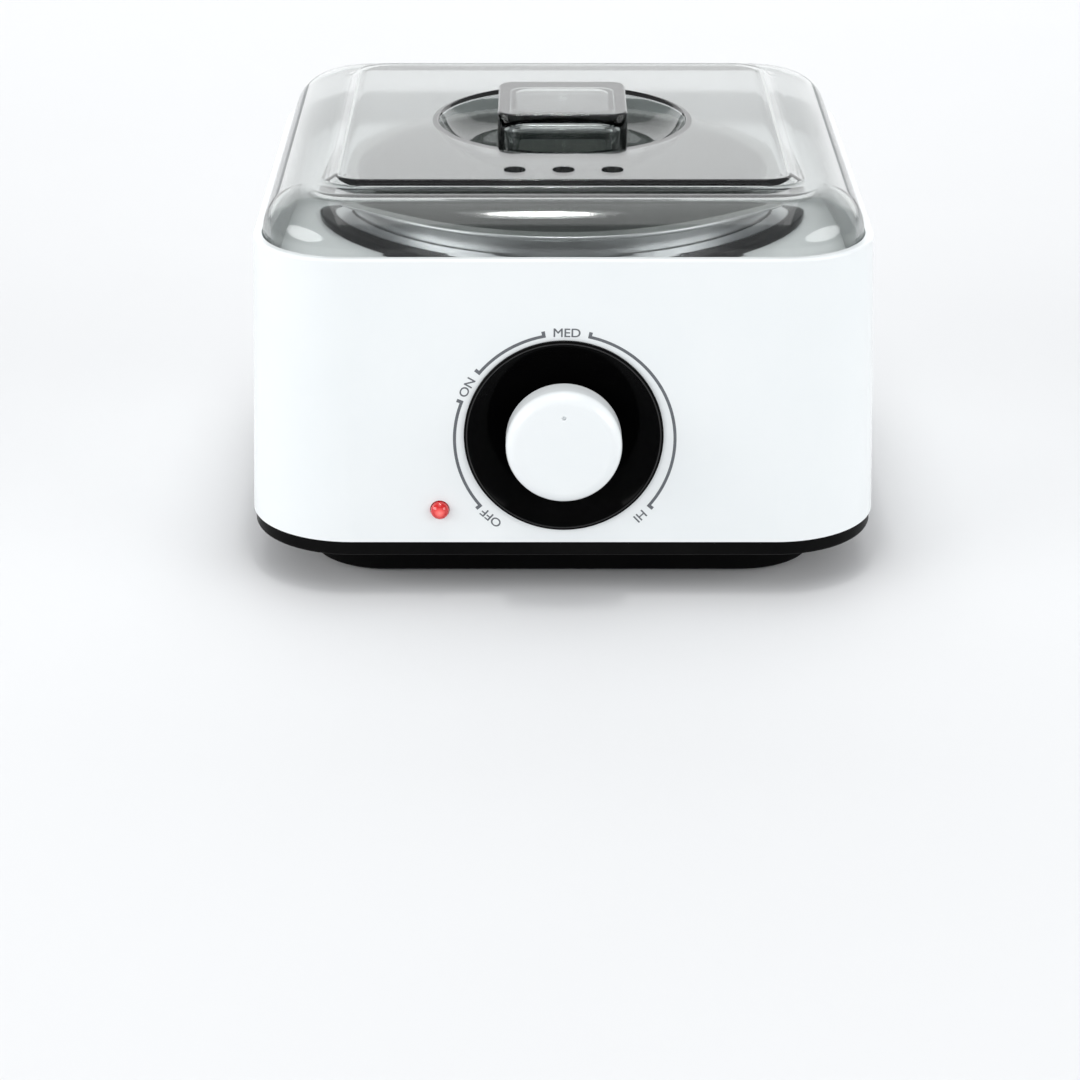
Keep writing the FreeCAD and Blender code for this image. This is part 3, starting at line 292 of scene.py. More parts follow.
# %% [markdown]
# ## Tool lines
#
# Turned and drawn metal carries fine lines: rings round the axis of a spun cup, long streaks along a
# brushed strip. Both are one noise sampled in a stretched space, so one group serves, with a switch
# between the distance from the upright axis and a plain direction.

# %% Tool lines group
tool_lines, start, end = new_group("Tool Lines", {"Scale": 2500.0, "Spun": 1.0}, {"Height": VALUE})
parts = add(tool_lines, "ShaderNodeSeparateXYZ")
flat = add(tool_lines, "ShaderNodeCombineXYZ")
radius = add(tool_lines, "ShaderNodeVectorMath", operation="LENGTH")
along = add(tool_lines, "ShaderNodeMix", data_type="FLOAT")
with_height = add(tool_lines, "ShaderNodeMath", operation="ADD")
lines = add(tool_lines, "ShaderNodeTexNoise", {"Detail": 3.0, "Roughness": 0.7}, noise_dimensions="1D")
own_space(tool_lines, parts)
wire(
    tool_lines,
    (parts, "X", flat, "X"),
    (parts, "Y", flat, "Y"),
    (flat, FIRST, radius, FIRST),
    (start, "Spun", along, "Factor"),
    (parts, "Y", along, NUMBER_A),
    (radius, "Value", along, NUMBER_B),
    (along, FIRST, with_height, FIRST),
    (parts, "Z", with_height, SECOND),
    (with_height, FIRST, lines, "W"),
    (start, "Scale", lines, "Scale"),
    (lines, "Fac", end, "Height"),
)
print("group:", tool_lines.name)

# %% [markdown]
# ## Flecks
#
# A non-stick coating holds tiny mineral flecks, and fired ceramic shows dark specks. Voronoi cells give
# one point per cell, so a threshold on the distance to that point gives flecks of one size that never
# touch.

# %% Flecks group
flecks, start, end = new_group("Flecks", {"Scale": 700.0, "Size": 0.22}, {"Mask": VALUE})
cell = add(flecks, "ShaderNodeTexVoronoi", {"Randomness": 1.0})
inside = add(flecks, "ShaderNodeMath", operation="LESS_THAN")
own_space(flecks, cell)
wire(
    flecks,
    (start, "Scale", cell, "Scale"),
    (cell, "Distance", inside, FIRST),
    (start, "Size", inside, SECOND),
    (inside, FIRST, end, "Mask"),
)
print("group:", flecks.name)

# %% [markdown]
# ## Building a finish
#
# Most finishes here have the same bones: a drifting colour, a handled gloss and a grain in the normal.
# One function lays those bones and hands them back, so that each finish below is only what makes it
# different. A second one lays a tint over the colour where a mask says, such as dust or rubbed edges.
# Values that are the same all over are set on the shader itself.

# %% Finish helpers
finishes = {}


def new_finish(name, main, other, drift, roughness, swing, grain, depth):
    """A finish with drifting colour, handled gloss and grain. Grain is in bumps per metre, depth in mm."""
    material = bpy.data.materials.new(name)
    material.use_nodes = True
    tree = material.node_tree
    shader = tree.nodes["Principled BSDF"]
    colour = place(tree, tone_drift, {"Main": (*main, 1), "Other": (*other, 1), "Scale": drift})
    gloss = place(tree, handling, {"Roughness": roughness, "Swing": swing})
    texture = place(tree, moulded_grain, {"Scale": grain})
    bump = add(tree, "ShaderNodeBump", {"Strength": 1.0, "Distance": depth * MM})
    wire(
        tree,
        (colour, "Colour", shader, "Base Color"),
        (gloss, "Roughness", shader, "Roughness"),
        (texture, "Height", bump, "Height"),
        (bump, "Normal", shader, "Normal"),
    )
    finishes[name] = material
    print("finish:", name)
    return SimpleNamespace(tree=tree, shader=shader, bump=bump, colour=colour.outputs["Colour"])


def tint_by(finish, group, values, tint):
    """Lays a tint over a finish's colour where a group's mask says."""
    mask = place(finish.tree, group, values)
    mix = add(finish.tree, "ShaderNodeMix", {COLOUR_B: (*tint, 1)}, data_type="RGBA")
    finish.tree.links.new(finish.colour, mix.inputs[COLOUR_A])
    wire(finish.tree, (mask, "Mask", mix, "Factor"), (mix, COLOUR_OUT, finish.shader, "Base Color"))
    finish.colour = mix.outputs[COLOUR_OUT]


# %% [markdown]
# ## White gloss
#
# The body and the knob are injection-moulded in a cool white with a high gloss. The grain is only an
# orange peel a few thousandths of a millimetre deep, enough to soften reflections without showing.

# %% White gloss
white = new_finish(
    "white_gloss", (0.835, 0.86, 0.865), (0.81, 0.842, 0.85),
    drift=22.0, roughness=0.24, swing=0.08, grain=260.0, depth=0.006,
)
tint_by(white, edge_rub, {"Reach": 0.0005}, tint=(0.9, 0.91, 0.91))
white.shader.inputs["Coat Weight"].default_value = 0.15

# %% [markdown]
# ## Black satin, gloss and lip
#
# The base has a fine textured black that hides scuffs, so its edges show rub and its ledge shows dust.
# The dial bowl and the ring round the pot come from a polished mould, but in the photograph they mirror
# the dark side of the room. A room as bright as ours would turn them grey, so their shine is turned far
# down. Only the narrow lip of the bowl keeps a full shine, for the fine bright line round the dial.

# %% Black mouldings
FAINT_SHINE = 0.03
FULL_SHINE = 0.5
satin = new_finish(
    "black_satin", (0.003, 0.003, 0.0032), (0.005, 0.005, 0.005),
    drift=40.0, roughness=0.36, swing=0.12, grain=1500.0, depth=0.02,
)
tint_by(satin, edge_rub, {"Reach": 0.0006}, tint=(0.05, 0.05, 0.052))
tint_by(satin, settled_dust, {"Cover": 0.25}, tint=(0.22, 0.21, 0.2))
satin.shader.inputs["Specular IOR Level"].default_value = FAINT_SHINE

gloss = new_finish(
    "black_gloss", (0.001, 0.001, 0.0012), (0.002, 0.002, 0.002),
    drift=40.0, roughness=0.07, swing=0.04, grain=320.0, depth=0.004,
)
tint_by(gloss, edge_rub, {"Reach": 0.0004}, tint=(0.04, 0.04, 0.042))
gloss.shader.inputs["Specular IOR Level"].default_value = FAINT_SHINE

lip = new_finish(
    "black_lip", (0.002, 0.002, 0.002), (0.003, 0.003, 0.003),
    drift=40.0, roughness=0.12, swing=0.04, grain=320.0, depth=0.004,
)
lip.shader.inputs["Specular IOR Level"].default_value = FULL_SHINE

# %% [markdown]
# ## Smoky clear lid
#
# The lid is clear plastic with smoke in it. It is a real wall with two faces, so plain transmission bends
# light at each of them as the moulding does. A grey surface would look equally grey everywhere, while smoke
# in the plastic takes more light the further it travels, which is why the thick edges of the handle look
# black. So the tint is a volume that absorbs. Light would not reach the pot through such a wall without
# very many samples, so for shadow rays alone both faces let light straight through. The vents look like
# small dark holes. Clear walls would light up in them, so those walls get a dark opaque finish of their
# own: painted shade in the holes, where the real walls are clear.

# %% Smoky clear plastic
SMOKE_COLOUR = (0.42, 0.45, 0.44, 1)
SMOKE_PER_METRE = 250.0
SHADOW_TINT = (0.94, 0.945, 0.945, 1)
clear = new_finish(
    "smoke_clear", (0.97, 0.973, 0.972), (0.957, 0.96, 0.959),
    drift=18.0, roughness=0.05, swing=0.02, grain=140.0, depth=0.002,
)
clear.shader.inputs["Transmission Weight"].default_value = 1.0
clear.shader.inputs["IOR"].default_value = 1.52
light_path = add(clear.tree, "ShaderNodeLightPath")
straight = add(clear.tree, "ShaderNodeBsdfTransparent", {"Color": SHADOW_TINT})
smoke = add(clear.tree, "ShaderNodeVolumeAbsorption", {"Color": SMOKE_COLOUR, "Density": SMOKE_PER_METRE})
choose = add(clear.tree, "ShaderNodeMixShader")
surface = clear.tree.nodes["Material Output"]
wire(
    clear.tree,
    (light_path, "Is Shadow Ray", choose, FIRST),
    (clear.shader, "BSDF", choose, SECOND),
    (straight, "BSDF", choose, THIRD),
    (choose, "Shader", surface, "Surface"),
    (smoke, "Volume", surface, "Volume"),
)

# %% Vent walls, painted dark as shade
# Near-black finish for the vent walls: painted shade standing in for the dark holes, where the real walls are
# clear.
new_finish(
    "vent_painted_shade", (0.012, 0.013, 0.013), (0.02, 0.021, 0.021),
    drift=300.0, roughness=0.16, swing=0.1, grain=900.0, depth=0.01,
)

# %% [markdown]
# ## Pot coating
#
# The pot is pressed from aluminium and coated inside with a dark grey-green non-stick layer full of fine
# flecks. The flecks are a mask over the drifting colour, so they stay sharp however close the eye comes.

# %% Pot coating
coating = new_finish(
    "pot_coating", (0.12, 0.134, 0.126), (0.14, 0.155, 0.146),
    drift=60.0, roughness=0.34, swing=0.1, grain=1300.0, depth=0.012,
)
tint_by(coating, flecks, {"Scale": 620.0, "Size": 0.16}, tint=(0.22, 0.235, 0.225))

# %% [markdown]
# ## Metals
#
# The well is spun, so its lines run round. Screws and brackets are zinc plated, with a soft mottled
# tone. The heater band has been hot, and has a straw tint. One function gives all of them lines in the
# bump, and each has its own tone and gloss.

# %% Metals
def metal_finish(name, main, other, roughness, scale, spun, depth):
    """A metal with tool lines instead of grain: rings where it is spun, and straight ones elsewhere."""
    metal = new_finish(
        name, main, other, drift=120.0, roughness=roughness, swing=0.12, grain=900.0, depth=depth
    )
    lines = place(metal.tree, tool_lines, {"Scale": scale, "Spun": spun})
    wire(metal.tree, (lines, "Height", metal.bump, "Height"))
    metal.shader.inputs["Metallic"].default_value = 1.0


metal_finish(
    "well_metal", (0.74, 0.75, 0.76), (0.66, 0.67, 0.68),
    roughness=0.3, scale=2600.0, spun=1.0, depth=0.01,
)
metal_finish(
    "steel", (0.62, 0.63, 0.64), (0.5, 0.52, 0.54),
    roughness=0.32, scale=3200.0, spun=0.0, depth=0.008,
)
metal_finish(
    "band_metal", (0.5, 0.44, 0.33), (0.4, 0.38, 0.36),
    roughness=0.38, scale=2200.0, spun=1.0, depth=0.012,
)
metal_finish(
    "brass", (0.8, 0.62, 0.28), (0.7, 0.5, 0.2),
    roughness=0.26, scale=3000.0, spun=0.0, depth=0.006,
)

# %% [markdown]
# ## Ceramic, rubber, sleeves and wires
#
# The thermostat and the terminal block are unglazed ceramic with dark specks. Feet and gland are matt
# rubber. Silicone wire skin is soft and satin, and the fuse's sleeve is a woven glass fibre.

# %% Ceramic and rubber
ceramic = new_finish(
    "steatite", (0.8, 0.77, 0.7), (0.74, 0.71, 0.64),
    drift=90.0, roughness=0.62, swing=0.1, grain=2200.0, depth=0.015,
)
tint_by(ceramic, flecks, {"Scale": 900.0, "Size": 0.1}, tint=(0.35, 0.32, 0.28))

rubber = new_finish(
    "rubber", (0.012, 0.012, 0.012), (0.022, 0.021, 0.02),
    drift=80.0, roughness=0.72, swing=0.1, grain=2600.0, depth=0.03,
)
tint_by(rubber, settled_dust, {"Cover": 0.4}, tint=(0.2, 0.19, 0.18))

# %% Sleeve and wires
WEAVE_STRANDS = 1100.0
sleeve = new_finish(
    "glass_sleeve", (0.82, 0.8, 0.72), (0.7, 0.67, 0.58),
    drift=400.0, roughness=0.6, swing=0.1, grain=1500.0, depth=0.05,
)
weave = add(sleeve.tree, "ShaderNodeTexChecker", {"Scale": WEAVE_STRANDS})
own_space(sleeve.tree, weave)
wire(sleeve.tree, (weave, "Fac", sleeve.bump, "Height"))

WIRE_SKINS = {
    "wire_white": ((0.8, 0.79, 0.76), (0.74, 0.73, 0.69)),
    "wire_brown": ((0.2, 0.085, 0.035), (0.16, 0.065, 0.025)),
    "wire_blue": ((0.03, 0.12, 0.42), (0.025, 0.09, 0.34)),
    "wire_grey": ((0.3, 0.3, 0.31), (0.25, 0.25, 0.26)),
}
for skin, (main, other) in WIRE_SKINS.items():
    new_finish(skin, main, other, drift=150.0, roughness=0.46, swing=0.1, grain=1400.0, depth=0.01)

# %% [markdown]
# ## Red lens
#
# The indicator is a clear red dome over a small light. Lit, it glows most in the middle and darkens to
# its foot. The distance from the lamp's own centre, known from the model, drives that glow, so it looks
# the same from every side.

# %% Red lens
GLOW_RADIUS = 1.7
GLOW_EDGE = (0.08, 0.0, 0.0, 1)
GLOW_MIDDLE = (1.0, 0.3, 0.27, 1)
lamp_low, lamp_high = box_of("indicator_lamp")
lamp_front = Vector(((lamp_low.x + lamp_high.x) / 2, lamp_low.y, (lamp_low.z + lamp_high.z) / 2))

red = new_finish(
    "red_lens", (0.62, 0.012, 0.012), (0.5, 0.008, 0.01),
    drift=300.0, roughness=0.1, swing=0.04, grain=500.0, depth=0.004,
)
from_tip = add(red.tree, "ShaderNodeVectorMath", {SECOND: lamp_front * MM}, operation="DISTANCE")
glow = add(red.tree, "ShaderNodeMapRange", {"From Min": GLOW_RADIUS * MM, "From Max": 0.0})
heat = add(red.tree, "ShaderNodeMix", {COLOUR_A: GLOW_EDGE, COLOUR_B: GLOW_MIDDLE}, data_type="RGBA")
own_space(red.tree, from_tip)
wire(
    red.tree,
    (from_tip, "Value", glow, "Value"),
    (glow, "Result", heat, "Factor"),
    (heat, COLOUR_OUT, red.shader, "Emission Color"),
)
red.shader.inputs["Emission Strength"].default_value = 0.75
red.shader.inputs["Coat Weight"].default_value = 0.6

# %% [markdown]
# ## Scale print
#
# The heat scale is pad-printed in grey. Ink lies a few hundredths of a millimetre proud, is duller than
# the gloss under it and thins slightly where the pad lifts.

# %% Scale print
new_finish(
    "scale_print", (0.105, 0.113, 0.125), (0.135, 0.145, 0.157),
    drift=500.0, roughness=0.5, swing=0.1, grain=3000.0, depth=0.004,
)

# %% [markdown]
# ## Dressing the engineering model
#
# Every node of the model knows its finish from the record, so a loop hands them out. The body, the base
# and all that is inside stay as they were engineered, and only their skin is new.

# %% Finishes on the engineered pieces
slot_of = {}
for row in frame["record"]["subparts"]:
    slot_of[row["node"]] = row["material_slot"]
for node, piece in frame["nodes"].items():
    piece.data.materials.clear()
    piece.data.materials.append(finishes[slot_of[node]])
print("dressed:", len(slot_of), "nodes in", len(set(slot_of.values())), "finishes")

# %% [markdown]
# ## Rings, lofts and lathes
#
# The warmer has two kinds of form. The lid follows a rounded square, and the pot, the bowl, the knob and
# the lamp are round. A ring of points swept from level to level gives the first kind, and a profile spun
# round an axis gives the second. Sculpting or subdividing a cube would give soft blobs, while rings keep
# every radius exact. A small bend turns each hard corner into an edge that catches light.

# %% Rings
QUARTERS = 4
CORNER_STEPS = 16
SIDE_STEPS = 20


def square_ring(half, corner, height):
    """A level ring on a rounded square, anticlockwise."""
    straight = half - corner
    reach = math.atan2(straight, half)
    ring = []
    for quarter in range(QUARTERS):
        turn = Matrix.Rotation(quarter * math.pi / 2, 3, "Z")
        for step in range(SIDE_STEPS):
            angle = reach * (2 * step / SIDE_STEPS - 1)
            ring.append(turn @ Vector((half, half * math.tan(angle), height)))
        for step in range(CORNER_STEPS):
            angle = math.pi / 2 * step / CORNER_STEPS
            across = straight + corner * math.cos(angle)
            ring.append(turn @ Vector((across, straight + corner * math.sin(angle), height)))
    return ring


def round_ring(radius, height, like):
    """A level circle whose points lie in the directions of another ring's points."""
    ring = []
    for point in like:
        spoke = Vector((point.x, point.y, 0)).normalized() * radius
        ring.append(Vector((spoke.x, spoke.y, height)))
    return ring


print("ring of", QUARTERS * (CORNER_STEPS + SIDE_STEPS), "points")

# %% Skins
SPIN_STEPS = 128


def loft(rings):
    """Joins rings of equal count into a skin that is closed at both ends."""
    count = len(rings[0])
    points = [point for ring in rings for point in ring]
    faces = [tuple(range(count)), tuple(range(len(points) - count, len(points)))]
    for base in range(0, len(points) - count, count):
        for step in range(count):
            following = (step + 1) % count
            faces.append((base + step, base + following, base + count + following, base + count + step))
    return points, faces


def lathe(profile, steps=SPIN_STEPS):
    """Spins a closed profile of (radius, height) round the upright axis."""
    count = len(profile)
    points, faces = [], []
    for step in range(steps):
        angle = 2 * math.pi * step / steps
        for radius, height in profile:
            points.append(Vector((radius * math.cos(angle), radius * math.sin(angle), height)))
    for step in range(steps):
        here, there = step * count, (step + 1) % steps * count
        for index in range(count):
            following = (index + 1) % count
            faces.append((here + index, there + index, there + following, here + following))
    return points, faces


print("spin of", SPIN_STEPS, "steps")

# %% Bends and arcs
EDGE_STEPS = 4
SOFT_STEPS = 6
LEFT, RIGHT, UP, DOWN = (-1, 0), (1, 0), (0, 1), (0, -1)
TO_RIGHT, TO_TOP, TO_LEFT, TO_BOTTOM = 0, 90, 180, -90


def bend(before, corner, after, steps=EDGE_STEPS):
    """Points that round a corner of a profile."""
    path = []
    for step in range(steps + 1):
        share = step / steps
        path.append(tuple(
            (1 - share) ** 2 * a + 2 * share * (1 - share) * b + share ** 2 * c
            for a, b, c in zip(before, corner, after)
        ))
    return path


def soft_corner(at, radius, coming, going, steps=EDGE_STEPS):
    """Rounds a profile's corner that is reached in one direction and left in another."""
    before = (at[0] - coming[0] * radius, at[1] - coming[1] * radius)
    after = (at[0] + going[0] * radius, at[1] + going[1] * radius)
    return bend(before, at, after, steps)


def arc(centre, radius, first, last, steps):
    """Points on an arc, with angles in degrees from the outward direction."""
    path = []
    for step in range(steps + 1):
        angle = math.radians(first + (last - first) * step / steps)
        path.append((centre[0] + radius * math.cos(angle), centre[1] + radius * math.sin(angle)))
    return path


print("edges bend in", EDGE_STEPS, "steps, softer ones in", SOFT_STEPS)

# %% [markdown]
# ## From shape to piece
#
# A shape becomes a piece in one place: millimetres turn into metres, doubled points at the axis are
# welded, faces turn outwards, and edges sharper than a limit stay crisp. Weighted normals then keep flat
# faces flat right up to their rounded edges. Holes are cut with a Boolean while the mesh is still plain.

# %% From points to mesh
WELD = 1e-7


def make_mesh(name, shape, place_at=Matrix()):
    """A clean mesh of points and faces in millimetres, as an object at its place."""
    points, faces = shape
    mesh = bpy.data.meshes.new(name)
    mesh.from_pydata([(place_at @ point) * MM for point in points], [], faces)
    work = bmesh.new()
    work.from_mesh(mesh)
    bmesh.ops.remove_doubles(work, verts=work.verts, dist=WELD)
    bmesh.ops.dissolve_degenerate(work, edges=work.edges, dist=WELD)
    bmesh.ops.recalc_face_normals(work, faces=work.faces)
    work.to_mesh(mesh)
    work.free()
    piece = bpy.data.objects.new(name, mesh)
    bpy.context.scene.collection.objects.link(piece)
    return piece


print("points weld within", WELD, "m")

# %% Carving
def carve(piece, cutters):
    """Cuts plain shapes out of a piece and keeps the result as its mesh."""
    for cutter in cutters:
        hole = piece.modifiers.new("hole", "BOOLEAN")
        hole.object = cutter
        hole.solver = "EXACT"
    solid = piece.evaluated_get(bpy.context.evaluated_depsgraph_get())
    carved = bpy.data.meshes.new_from_object(solid)
    carved.name = piece.name
    piece.modifiers.clear()
    piece.data = carved
    for cutter in cutters:
        bpy.data.objects.remove(cutter)


print("carving ready")

# %% Finishing a piece
SHARP_ANGLE = 40.0


def finish_piece(piece, finish, body, replaced=()):
    """Smooths a piece, gives it its finish and its body, and hides the engineered nodes that it stands for."""
    piece.data.materials.clear()
    piece.data.materials.append(finishes[finish])
    piece.data.shade_smooth()
    piece.data.set_sharp_from_angle(angle=math.radians(SHARP_ANGLE))
    even = piece.modifiers.new("even_faces", "WEIGHTED_NORMAL")
    even.keep_sharp = True
    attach(piece, body)
    if replaced:
        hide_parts(*replaced)
    print(piece.name, len(piece.data.polygons), "faces, rides on", body)


print("edges stay crisp above", SHARP_ANGLE, "degrees")

# %% [markdown]
# ## The lid
#
# The lid is one clear moulding: a skirt, a wide rounded shoulder, a raised square panel, a round dish for
# the fingers and a hollow square handle that rises out of the dish. All of it can be drawn as rings that
# run up the outside from the foot to the handle's top, and down the inside from the handle's hollow to
# the foot. Both skins matter, because each bends the light. The panel's step is steep in front, where it
# draws a dark line, and leans at the sides, where it fades. Where the square handle meets the round dish,
# the ring takes its height from the dish's own curve. Three vents are cut last.

# %% Lid levels
LID_WALL = 2.0
SHOULDER = 13.4
PANEL_RISE = 2.2
DISH_DEPTH = 9.0
HANDLE_RISE = 6.0
lid_low, lid_high = box_of("lid")
lid_half = lid_high.x
lid_foot = lid_low.z
handle_top = lid_high.z
panel_top = handle_top - HANDLE_RISE
shelf = panel_top - PANEL_RISE
shoulder_z = shelf - SHOULDER
dish_floor = panel_top - DISH_DEPTH
print("lid", round(lid_half * 2, 2), "mm wide, its panel at", round(panel_top, 2))

# %% Skirt and shoulder
LID_CORNER = 24.35
EDGE_ROUND = 0.4
SHOULDER_STEPS = 18


def lid_ring(inset, height):
    """A ring on the lid's outline, drawn in by an inset."""
    return square_ring(lid_half - inset, LID_CORNER - inset, height)


outside = []
for inset, height in soft_corner((0, lid_foot), EDGE_ROUND, LEFT, UP):
    outside.append(lid_ring(inset, height))
for inset, height in arc((SHOULDER, shoulder_z), SHOULDER, TO_LEFT, TO_TOP, SHOULDER_STEPS):
    outside.append(lid_ring(inset, height))
print("rings up to the shoulder's top:", len(outside))

# %% Raised panel
PANEL_HALF = 65.0
PANEL_CORNER = 8.0
PANEL_ROUND = 0.6
PANEL_RUN = 0.8
SIDE_RUN = 2.4
SIDE_LEAN = 1.4


def panel_rings(half, corner, low, high, run):
    """The step between two flats, with a soft run to each. It is steep in front and leans at the sides."""
    profile = bend((run, low), (0, low), (0, low + PANEL_ROUND))
    profile += bend((0, high - PANEL_ROUND), (0, high), (-run, high))[1:]
    rings = []
    for grow, height in profile:
        lean = SIDE_LEAN * ((low + high) / 2 - height)
        widen = (half + SIDE_RUN * grow + lean) / (half + grow)
        ring = square_ring(half + grow, corner + grow, height)
        rings.append([Vector((point.x * widen, point.y, point.z)) for point in ring])
    return rings


outside += panel_rings(PANEL_HALF, PANEL_CORNER, shelf, panel_top, PANEL_RUN)
print("rings up to the panel:", len(outside))

# %% Dish
DISH_RADIUS = 36.9
DISH_CURVE = 12.9
DISH_RING = 27.5
DISH_STEPS = 10
dish_arc = (DISH_CURVE ** 2 + DISH_DEPTH ** 2) / (2 * DISH_DEPTH)
dish_flat = DISH_RADIUS - DISH_CURVE


def dish_level(radius, wall=0.0):
    """Height of the dish's skin, or of its underside, at a distance from the middle."""
    run = max(radius - dish_flat, 0.0)
    return dish_floor + dish_arc - math.sqrt((dish_arc + wall) ** 2 - run ** 2)


def on_dish(ring, wall=0.0, lift=0.0):
    """Drops a ring onto the dish."""
    return [Vector((p.x, p.y, dish_level(math.hypot(p.x, p.y), wall) + lift)) for p in ring]


def dish_rings(wall, top, rim_round):
    """Round rings from the dish's rim down to where the square handle takes over."""
    edge = dish_flat + math.sqrt((dish_arc + wall) ** 2 - (dish_arc - DISH_DEPTH + panel_top - top) ** 2)
    inner = edge - rim_round / 2
    profile = bend((edge + rim_round, top), (edge, top), (inner, dish_level(inner, wall)))
    for step in range(1, DISH_STEPS + 1):
        radius = inner + (DISH_RING - inner) * step / DISH_STEPS
        profile.append((radius, dish_level(radius, wall)))
    like = square_ring(PANEL_HALF, PANEL_CORNER, top)
    return [round_ring(radius, height, like) for radius, height in profile]


dish = dish_rings(0.0, panel_top, EDGE_ROUND)
outside += dish
print("dish curve of radius", round(dish_arc, 2), "mm")

# %% Handle
HANDLE_HALF = 19.0
HANDLE_CORNER = 4.5
HANDLE_ROUND = 0.9
HANDLE_STEPS = 8
FOOT_ROUND = 0.7
RUN_SHARES = (0.35, 0.7)


def handle_ring(grow, height=0.0):
    """A ring on the handle's outline, made larger all round."""
    return square_ring(HANDLE_HALF + grow, HANDLE_CORNER + grow, height)


def between(first, second, share):
    """A ring part of the way from one ring to another."""
    return [a.lerp(b, share) for a, b in zip(first, second)]


foot_bend = FOOT_ROUND / 4
foot = on_dish(handle_ring(FOOT_ROUND))
outside += [on_dish(between(dish[-1], foot, share)) for share in RUN_SHARES]
outside.append(foot)
outside.append(on_dish(handle_ring(foot_bend), lift=foot_bend))
outside.append(on_dish(handle_ring(0), lift=FOOT_ROUND))
top_bend = (-HANDLE_ROUND, handle_top - HANDLE_ROUND)
for grow, height in arc(top_bend, HANDLE_ROUND, TO_RIGHT, TO_TOP, HANDLE_STEPS):
    outside.append(handle_ring(grow, height))
print("outside rings:", len(outside))

# %% Lid inside
HANDLE_WALL = 2.9
HANDLE_ROOF = 3.3
HOLLOW_ROUND = 3.0
UNDER_RUN = 1.4
UNDER_SHIFT = 0.6
hollow_half = HANDLE_HALF - HANDLE_WALL
hollow_top = handle_top - HANDLE_ROOF
hollow_mouth = dish_floor - LID_WALL
under_half = PANEL_HALF - UNDER_SHIFT
under_corner = PANEL_CORNER - UNDER_SHIFT
under_panel = panel_top - LID_WALL
under_shelf = shelf - LID_WALL

inside = []
for grow, height in soft_corner((0, hollow_top), HOLLOW_ROUND, RIGHT, DOWN):
    inside.append(square_ring(hollow_half + grow, HANDLE_CORNER, height))
for grow, height in soft_corner((0, hollow_mouth), EDGE_ROUND, DOWN, RIGHT):
    inside.append(square_ring(hollow_half + grow, HANDLE_CORNER + grow, height))
cup = dish_rings(LID_WALL, under_panel, EDGE_ROUND)[::-1]
inside += [on_dish(between(inside[-1], cup[0], share), LID_WALL) for share in RUN_SHARES]
inside += cup
inside += panel_rings(under_half, under_corner, under_shelf, under_panel, UNDER_RUN)[::-1]
for inset, height in arc((SHOULDER, shoulder_z), SHOULDER - LID_WALL, TO_TOP, TO_LEFT, SHOULDER_STEPS):
    inside.append(lid_ring(inset, height))
for inset, height in soft_corner((LID_WALL, lid_foot), EDGE_ROUND, DOWN, LEFT):
    inside.append(lid_ring(inset, height))
print("inside rings:", len(inside))

# %% Vents
VENT_RADIUS = 3.0
VENT_PITCH = 13.7
VENT_SETBACK = 54.9
VENT_ROUND = 0.3
VENT_SPIN = 48
OVERRUN = 1.0
vent_profile = [(0, under_panel - OVERRUN), (VENT_RADIUS + VENT_ROUND, under_panel - OVERRUN)]
vent_profile += soft_corner((VENT_RADIUS, under_panel), VENT_ROUND, LEFT, UP)
vent_profile += soft_corner((VENT_RADIUS, panel_top), VENT_ROUND, UP, RIGHT)
vent_profile += [(VENT_RADIUS + VENT_ROUND, panel_top + OVERRUN), (0, panel_top + OVERRUN)]
vents = []
for column in (-1, 0, 1):
    spot = Matrix.Translation((column * VENT_PITCH, -VENT_SETBACK, 0))
    vents.append(make_mesh("vent", lathe(vent_profile, VENT_SPIN), spot))
print("vents:", len(vents))

# %% Lid
WALL_LEAN = 0.8
lid = make_mesh("clear_lid", loft(inside + outside))
carve(lid, vents)
finish_piece(lid, "smoke_clear", "lid", ["lid"])
# The vent walls take the near-black finish: painted shade in the holes, in place of clear plastic.
lid.data.materials.append(finishes["vent_painted_shade"])
for face in lid.data.polygons:
    spot = face.center / MM
    column = min(max(round(spot.x / VENT_PITCH), -1), 1)
    off_axis = math.hypot(spot.x - column * VENT_PITCH, spot.y + VENT_SETBACK)
    upright = abs(face.normal.z) < WALL_LEAN
    face.material_index = int(upright and off_axis < VENT_RADIUS + VENT_ROUND)
print("vent faces:", sum(face.material_index for face in lid.data.polygons))

# %% [markdown]
# ## The pot
#
# A pressed aluminium cup with a wide flat flange that fingers can lift. A lathe is how it would be spun,
# and how it is modelled: one closed profile, up the outside, over the flange's rolled edge and down the
# inside. Only the inside and the top of the flange are coated. Faces that look outwards or down stay bare
# aluminium, so each face takes its finish from the way that it faces.

# %% Pot
pot_low, pot_high = box_of("pot")
POT_WALL = 1.3
POT_BEND = 6.0
FLANGE_REACH = 4.6
FLANGE_THICKNESS = 1.4
FLANGE_EDGE = 0.65
LIP_BEND = 1.2
BEND_STEPS = 10
flange_radius = pot_high.x
pot_outer = flange_radius - FLANGE_REACH
pot_inner = pot_outer - POT_WALL
flange_low = pot_high.z - FLANGE_THICKNESS
pot_floor = pot_low.z + POT_WALL
pot_profile = [(0, pot_low.z)]
pot_profile += arc((pot_outer - POT_BEND, pot_low.z + POT_BEND), POT_BEND, TO_BOTTOM, TO_RIGHT, BEND_STEPS)
pot_profile += soft_corner((pot_outer, flange_low), LIP_BEND, UP, RIGHT)
pot_profile += soft_corner((flange_radius, flange_low), FLANGE_EDGE, RIGHT, UP)
pot_profile += soft_corner((flange_radius, pot_high.z), FLANGE_EDGE, UP, LEFT)
pot_profile += soft_corner((pot_inner, pot_high.z), LIP_BEND, LEFT, DOWN, SOFT_STEPS)
inner_bend = POT_BEND - POT_WALL
inner_foot = (pot_inner - inner_bend, pot_floor + inner_bend)
